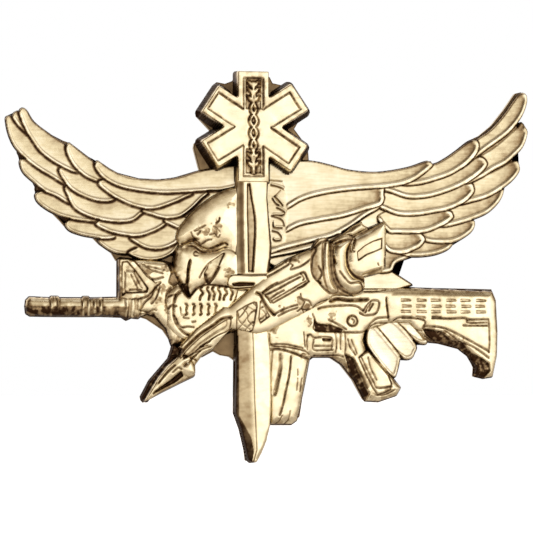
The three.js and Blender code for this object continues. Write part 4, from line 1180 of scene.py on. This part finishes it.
def tail():
    relief = Relief((8, 22), (-16, -5), PLATE_FRONT)
    for outline in TAIL_LEAVES:
        d = relief.signed(spline(outline))
        relief.lay(d, 2.2 - 0.2 * (1 - np.exp(-np.clip(d, 0, FAR) / 0.7)) + 0.08 * bump(d, 0.3, 0.15), soft=0.12)
        # painted shadow line just outside each leaf's edge
        relief.mark(0.95 * bump(d, -0.1, 0.13) * (d < 0.05))
    relief.round_rim(0.3, 0.25)
    relief.settle()
    return relief


# ------------------------------------------------------------------ lance

def lance():
    relief = Relief((-18, 17.5), (-19.5, 7.5), PLATE_FRONT)
    x, z = relief.x, relief.z
    body = relief.signed(LANCE)
    relief.lay(body, 3.55 + 0.5 * blurred(1 - np.exp(-np.clip(body, 0, FAR) / 0.8), 0.15))
    upper_side = z > 0.78 * x - 0.4
    # painted shade band along the body's upper edge
    relief.mark(0.42 * bump(body, 0.4, 0.28) * upper_side * (x < 7))

    # skirt along the spearhead's left side, painted dark as shade
    skirt = relief.signed(SPEAR_SKIRT)
    relief.lay(skirt, 2.0, soft=0.3)
    relief.mark(0.9 * step(skirt, 0.2))
    relief.lay(relief.signed(SPEAR_HEAD), 3.7, soft=0.15)

    # spearhead
    head = relief.signed(SPEAR_HEAD)
    relief.tilt(head, SPEAR_RIDGE, 0.28)
    # painted shade on the spearhead away from its ridge, and in its sunk slot
    relief.mark(0.3 * step(relief.off(SPEAR_RIDGE, 6) - 0.5, 0.6) * (head > 0))
    relief.sink(relief.signed(SPEAR_SLOT), 0.5, soft=0.2, shade_and_mottle=0.9)
    relief.dome(spline(SPEAR_LOBE), 3.4, 3.9, 0.4, soft=0.3, grow=False)
    for line in SPEAR_LINES:
        relief.groove(spline(line, closed=False), 0.2, 0.12, 0.85)

    # shaft
    slot = relief.signed(spline(SHAFT_SLOT))
    # painted shade in the sunk slot and along its edge
    relief.sink(slot, 0.22, soft=0.2, shade_and_mottle=0.25)
    relief.mark(0.8 * bump(slot, 0.05, 0.12))
    relief.groove(spline(SHAFT_DARK_LINE, closed=False), 0.4, 0.2)
    relief.groove(spline(SHAFT_SLOT_LINES, closed=False), 0.16, 0.12, 0.6)

    # windows with plain crossed lines; the lines, panes and frames are painted with shade
    for frame_line in WINDOW_FRAMES:
        pane = relief.signed(frame_line)
        across = np.abs(np.sin((x + 0.8 * z) * 2.6 + 0.9 * np.sin(2.3 * z)))
        along = np.abs(np.sin((0.9 * x - z) * 2.2 + 0.7 * np.sin(1.9 * x)))
        crossed = np.maximum(bump(across, 0, 0.22), bump(along, 0, 0.22)) * step(pane - 0.3, 0.1)
        relief.sink(pane - 0.2, 0.18, soft=0.15, shade_and_mottle=0.16)
        relief.h -= 0.12 * crossed
        relief.mark(0.8 * crossed)
        relief.mark(0.8 * bump(pane, 0.15, 0.1))
    relief.groove(spline(DIAGONAL_BAND, closed=False), 0.4, 0.2)

    # body
    panel = relief.signed(BODY_PANEL)
    relief.h -= 0.14 * bump(panel, 0, 0.12)
    # painted shade line round the body panel
    relief.mark(0.8 * bump(panel, 0, 0.1))
    for line in BODY_LINES:
        relief.groove(spline(line, closed=False), 0.18, 0.12, 0.85)
    for place in BODY_SHADE_AND_WEAR_PATCHES:
        relief.shade_and_wear_patch(*place)

    # collars and head
    for outline, low, high in ((COLLAR_ONE, 3.7, 4.35), (COLLAR_TWO, 3.6, 4.45)):
        ring = relief.dome(spline(outline), low, high, 0.5, soft=0.2, grow=False)
        # painted shade line round each collar
        relief.mark(0.8 * bump(ring, -0.1, 0.15))
    # painted shade over the first collar's left part and at the collars' foot
    relief.mark(0.5 * step(relief.signed(spline(COLLAR_SHADE)), 0.4) * step(6.5 - x - 0.12 * np.minimum(z, 0), 1.1))
    relief.mark(0.42 * step(relief.signed(spline(COLLAR_FOOT_SHADE)), 0.5))
    for line in COLLAR_LINES:
        relief.groove(spline(line, closed=False), 0.25, 0.14, 0.85)
    face = relief.dome(HEAD, 3.7, 4.3, 0.45, soft=0.15, grow=False)
    # painted shade round the head, in its window and on the shade patch below
    relief.mark(0.8 * bump(face, -0.08, 0.12))
    window = relief.signed(HEAD_WINDOW)
    relief.sink(window, 0.18, shade_and_mottle=0.15)
    relief.mark(0.85 * bump(window, 0.03, 0.1))
    relief.sink(relief.signed(HEAD_SHADE), 0.25, soft=0.3, shade_and_mottle=0.5)
    for line in HEAD_LINES:
        relief.groove(spline(line, closed=False), 0.2, 0.11, 0.85)
    relief.dome(spline(SWOOSH), 3.4, 3.8, 0.3, soft=0.15)
    relief.round_rim(0.2, 0.2)
    relief.settle(uneven=0.7)
    return relief


# ------------------------------------------------------------------ pieces



def star_draft(x, z):
    """The star's walls lean out widely, except round its top arm."""
    return 0.6 - 0.32 * step(z - 22.3, 1.5) * step(2.9 - np.abs(x - STAR_CENTRE[0]), 0.4)


MOTIFS = [
    ("left_wing", wing((-36, -1), (-1, 22.5), LEFT_CORE, LEFT_FEATHERS, 0.2, 0.07, 0.22, 0.42, 0.26), satin),
    ("right_wing", wing((-2, 36), (-5, 24.5), RIGHT_CORE, RIGHT_FEATHERS, 0.4, 0.14, 0.8, 0.16, 0.14, FILIGREE), satin),
    ("tail_feathers", tail(), satin),
    ("rifle", rifle(), polished),
    ("skull", skull(), polished),
    ("dagger", dagger(), polished),
    ("star", star(), polished),
    ("lance", lance(), polished),
]
for name, relief, finish in MOTIFS:
    piece = relief.mesh(name + "_relief", PLATE_FRONT + SOLDER_GAP, star_draft if name == "star" else DRAFT)
    piece.data.materials.append(finish)
    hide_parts(name)
    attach(piece, "root")

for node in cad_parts:
    thing = bpy.data.objects[node]
    if not thing.hide_render:
        thing.data.materials.clear()
        thing.data.materials.append(plate_gold if node == "back_plate" else brass)


# ------------------------------------------------------------------ studio

floor_data = bpy.data.meshes.new("floor")
floor_data.from_pydata([(-3, -3, -0.036), (3, -3, -0.036), (3, 3, -0.036), (-3, 3, -0.036)], [], [(0, 1, 2, 3)])
floor = bpy.data.objects.new("floor", floor_data)
bpy.context.collection.objects.link(floor)
# the floor glows though it is no lamp: evenly where the camera sees it, and in reflections brighter towards the front
# than beneath the badge, as painted light from below
glowing_floor = bpy.data.materials.new("floor_glow")
glowing_floor.use_nodes = True
glowing_floor.node_tree.nodes["Principled BSDF"].inputs["Base Color"].default_value = (0.92, 0.92, 0.92, 1)
glowing_floor.node_tree.nodes["Principled BSDF"].inputs["Roughness"].default_value = 0.9
glowing_floor.node_tree.nodes["Principled BSDF"].inputs["Emission Color"].default_value = (1, 1, 1, 1)
nodes, links = glowing_floor.node_tree.nodes, glowing_floor.node_tree.links
spot, parts, reflected_glow, seen_glow = (
    nodes.new("ShaderNode" + kind) for kind in ("TexCoord", "SeparateXYZ", "MapRange", "MapRange")
)
eye = nodes.new("ShaderNodeLightPath")
links.new(spot.outputs["Object"], parts.inputs["Vector"])
links.new(parts.outputs["Y"], reflected_glow.inputs["Value"])
for socket, number in (("From Min", -0.03), ("From Max", -0.09), ("To Min", 0.05), ("To Max", 0.8)):
    reflected_glow.inputs[socket].default_value = number
links.new(reflected_glow.outputs["Result"], seen_glow.inputs["To Min"])
seen_glow.inputs["To Max"].default_value = 0.8
links.new(eye.outputs["Is Camera Ray"], seen_glow.inputs["Value"])
links.new(seen_glow.outputs["Result"], nodes["Principled BSDF"].inputs["Emission Strength"])
floor_data.materials.append(glowing_floor)

world = bpy.data.worlds.new("studio")
bpy.context.scene.world = world
world.use_nodes = True
nodes, links = world.node_tree.nodes, world.node_tree.links
direction = nodes.new("ShaderNodeTexCoord")


def glow(towards, stops):
    """Soft light from one side; stops are (how nearly towards, brightness). Dimmer is warmer."""
    dot = nodes.new("ShaderNodeVectorMath")
    dot.operation = "DOT_PRODUCT"
    links.new(direction.outputs["Generated"], dot.inputs[0])
    dot.inputs[1].default_value = Vector(towards).normalized()
    ramp = nodes.new("ShaderNodeValToRGB")
    ramp.color_ramp.interpolation = "EASE"
    elements = ramp.color_ramp.elements
    tones = [(place, (level, level**1.22, level**1.5, 1)) for place, level in stops]
    elements[0].position, elements[0].color = tones[0]
    elements[1].position, elements[1].color = tones[-1]
    for place, tone in tones[1:-1]:
        elements.new(place).color = tone
    links.new(dot.outputs["Value"], ramp.inputs["Fac"])
    return ramp.outputs["Color"]


front = glow((0.35, -0.88, -0.35), ((0.0, 0.05), (0.28, 0.15), (0.52, 0.55), (0.75, 1.0)))
rear = glow((-0.2, 0.9, 0.35), ((0.2, 0.0), (0.6, 0.35), (0.95, 0.9)))
both = nodes.new("ShaderNodeMix")
both.data_type, both.blend_type = "RGBA", "ADD"
both.inputs["Factor"].default_value = 1.0
links.new(front, both.inputs[6])
links.new(rear, both.inputs[7])
background = nodes["Background"]
links.new(both.outputs[2], background.inputs["Color"])
background.inputs["Strength"].default_value = 1.29
seen = nodes.new("ShaderNodeBackground")
seen.inputs["Color"].default_value = (1, 1, 1, 1)
ray = nodes.new("ShaderNodeLightPath")
choose = nodes.new("ShaderNodeMixShader")
links.new(ray.outputs["Is Camera Ray"], choose.inputs["Fac"])
links.new(background.outputs["Background"], choose.inputs[1])
links.new(seen.outputs["Background"], choose.inputs[2])
links.new(choose.outputs["Shader"], nodes["World Output"].inputs["Surface"])


def area_light(name, place, size, power):
    data = bpy.data.lights.new(name, "AREA")
    data.shape = "RECTANGLE"
    data.size, data.size_y = size
    data.energy = power
    lamp = bpy.data.objects.new(name, data)
    lamp.location = place
    lamp.rotation_mode = "QUATERNION"
    lamp.rotation_quaternion = (-Vector(place)).to_track_quat("-Z", "Y")
    bpy.context.collection.objects.link(lamp)


area_light("front_softbox", (0.25, -0.50, 0.10), (0.25, 0.35), 0.12)
area_light("top_softbox", (0.1, -0.1, 0.55), (0.6, 0.3), 0.35)
area_light("back_softbox", (0.2, 0.6, 0.35), (0.5, 0.5), 0.3)

CAMERA_AZIMUTH = -8
CAMERA_ELEVATION = -3
LENS = 150
FRAME_WIDTH = 70.4 * MM  # width of the view at the badge
camera_data = bpy.data.cameras.new("camera")
camera_data.lens = LENS
camera_data.sensor_width = 36
camera = bpy.data.objects.new("camera", camera_data)
bpy.context.collection.objects.link(camera)
azimuth, elevation = math.radians(CAMERA_AZIMUTH), math.radians(CAMERA_ELEVATION)
back = Vector((
    math.sin(azimuth) * math.cos(elevation), -math.cos(azimuth) * math.cos(elevation), math.sin(elevation),
))
target = Vector((-0.00025, -0.002, -0.0001))
camera.location = target + back * (FRAME_WIDTH * LENS / camera_data.sensor_width)
camera.rotation_mode = "QUATERNION"
camera.rotation_quaternion = (-back).to_track_quat("-Z", "Y")
camera_data.clip_start = 0.01
bpy.context.scene.camera = camera
bpy.context.scene.view_settings.view_transform = "Standard"
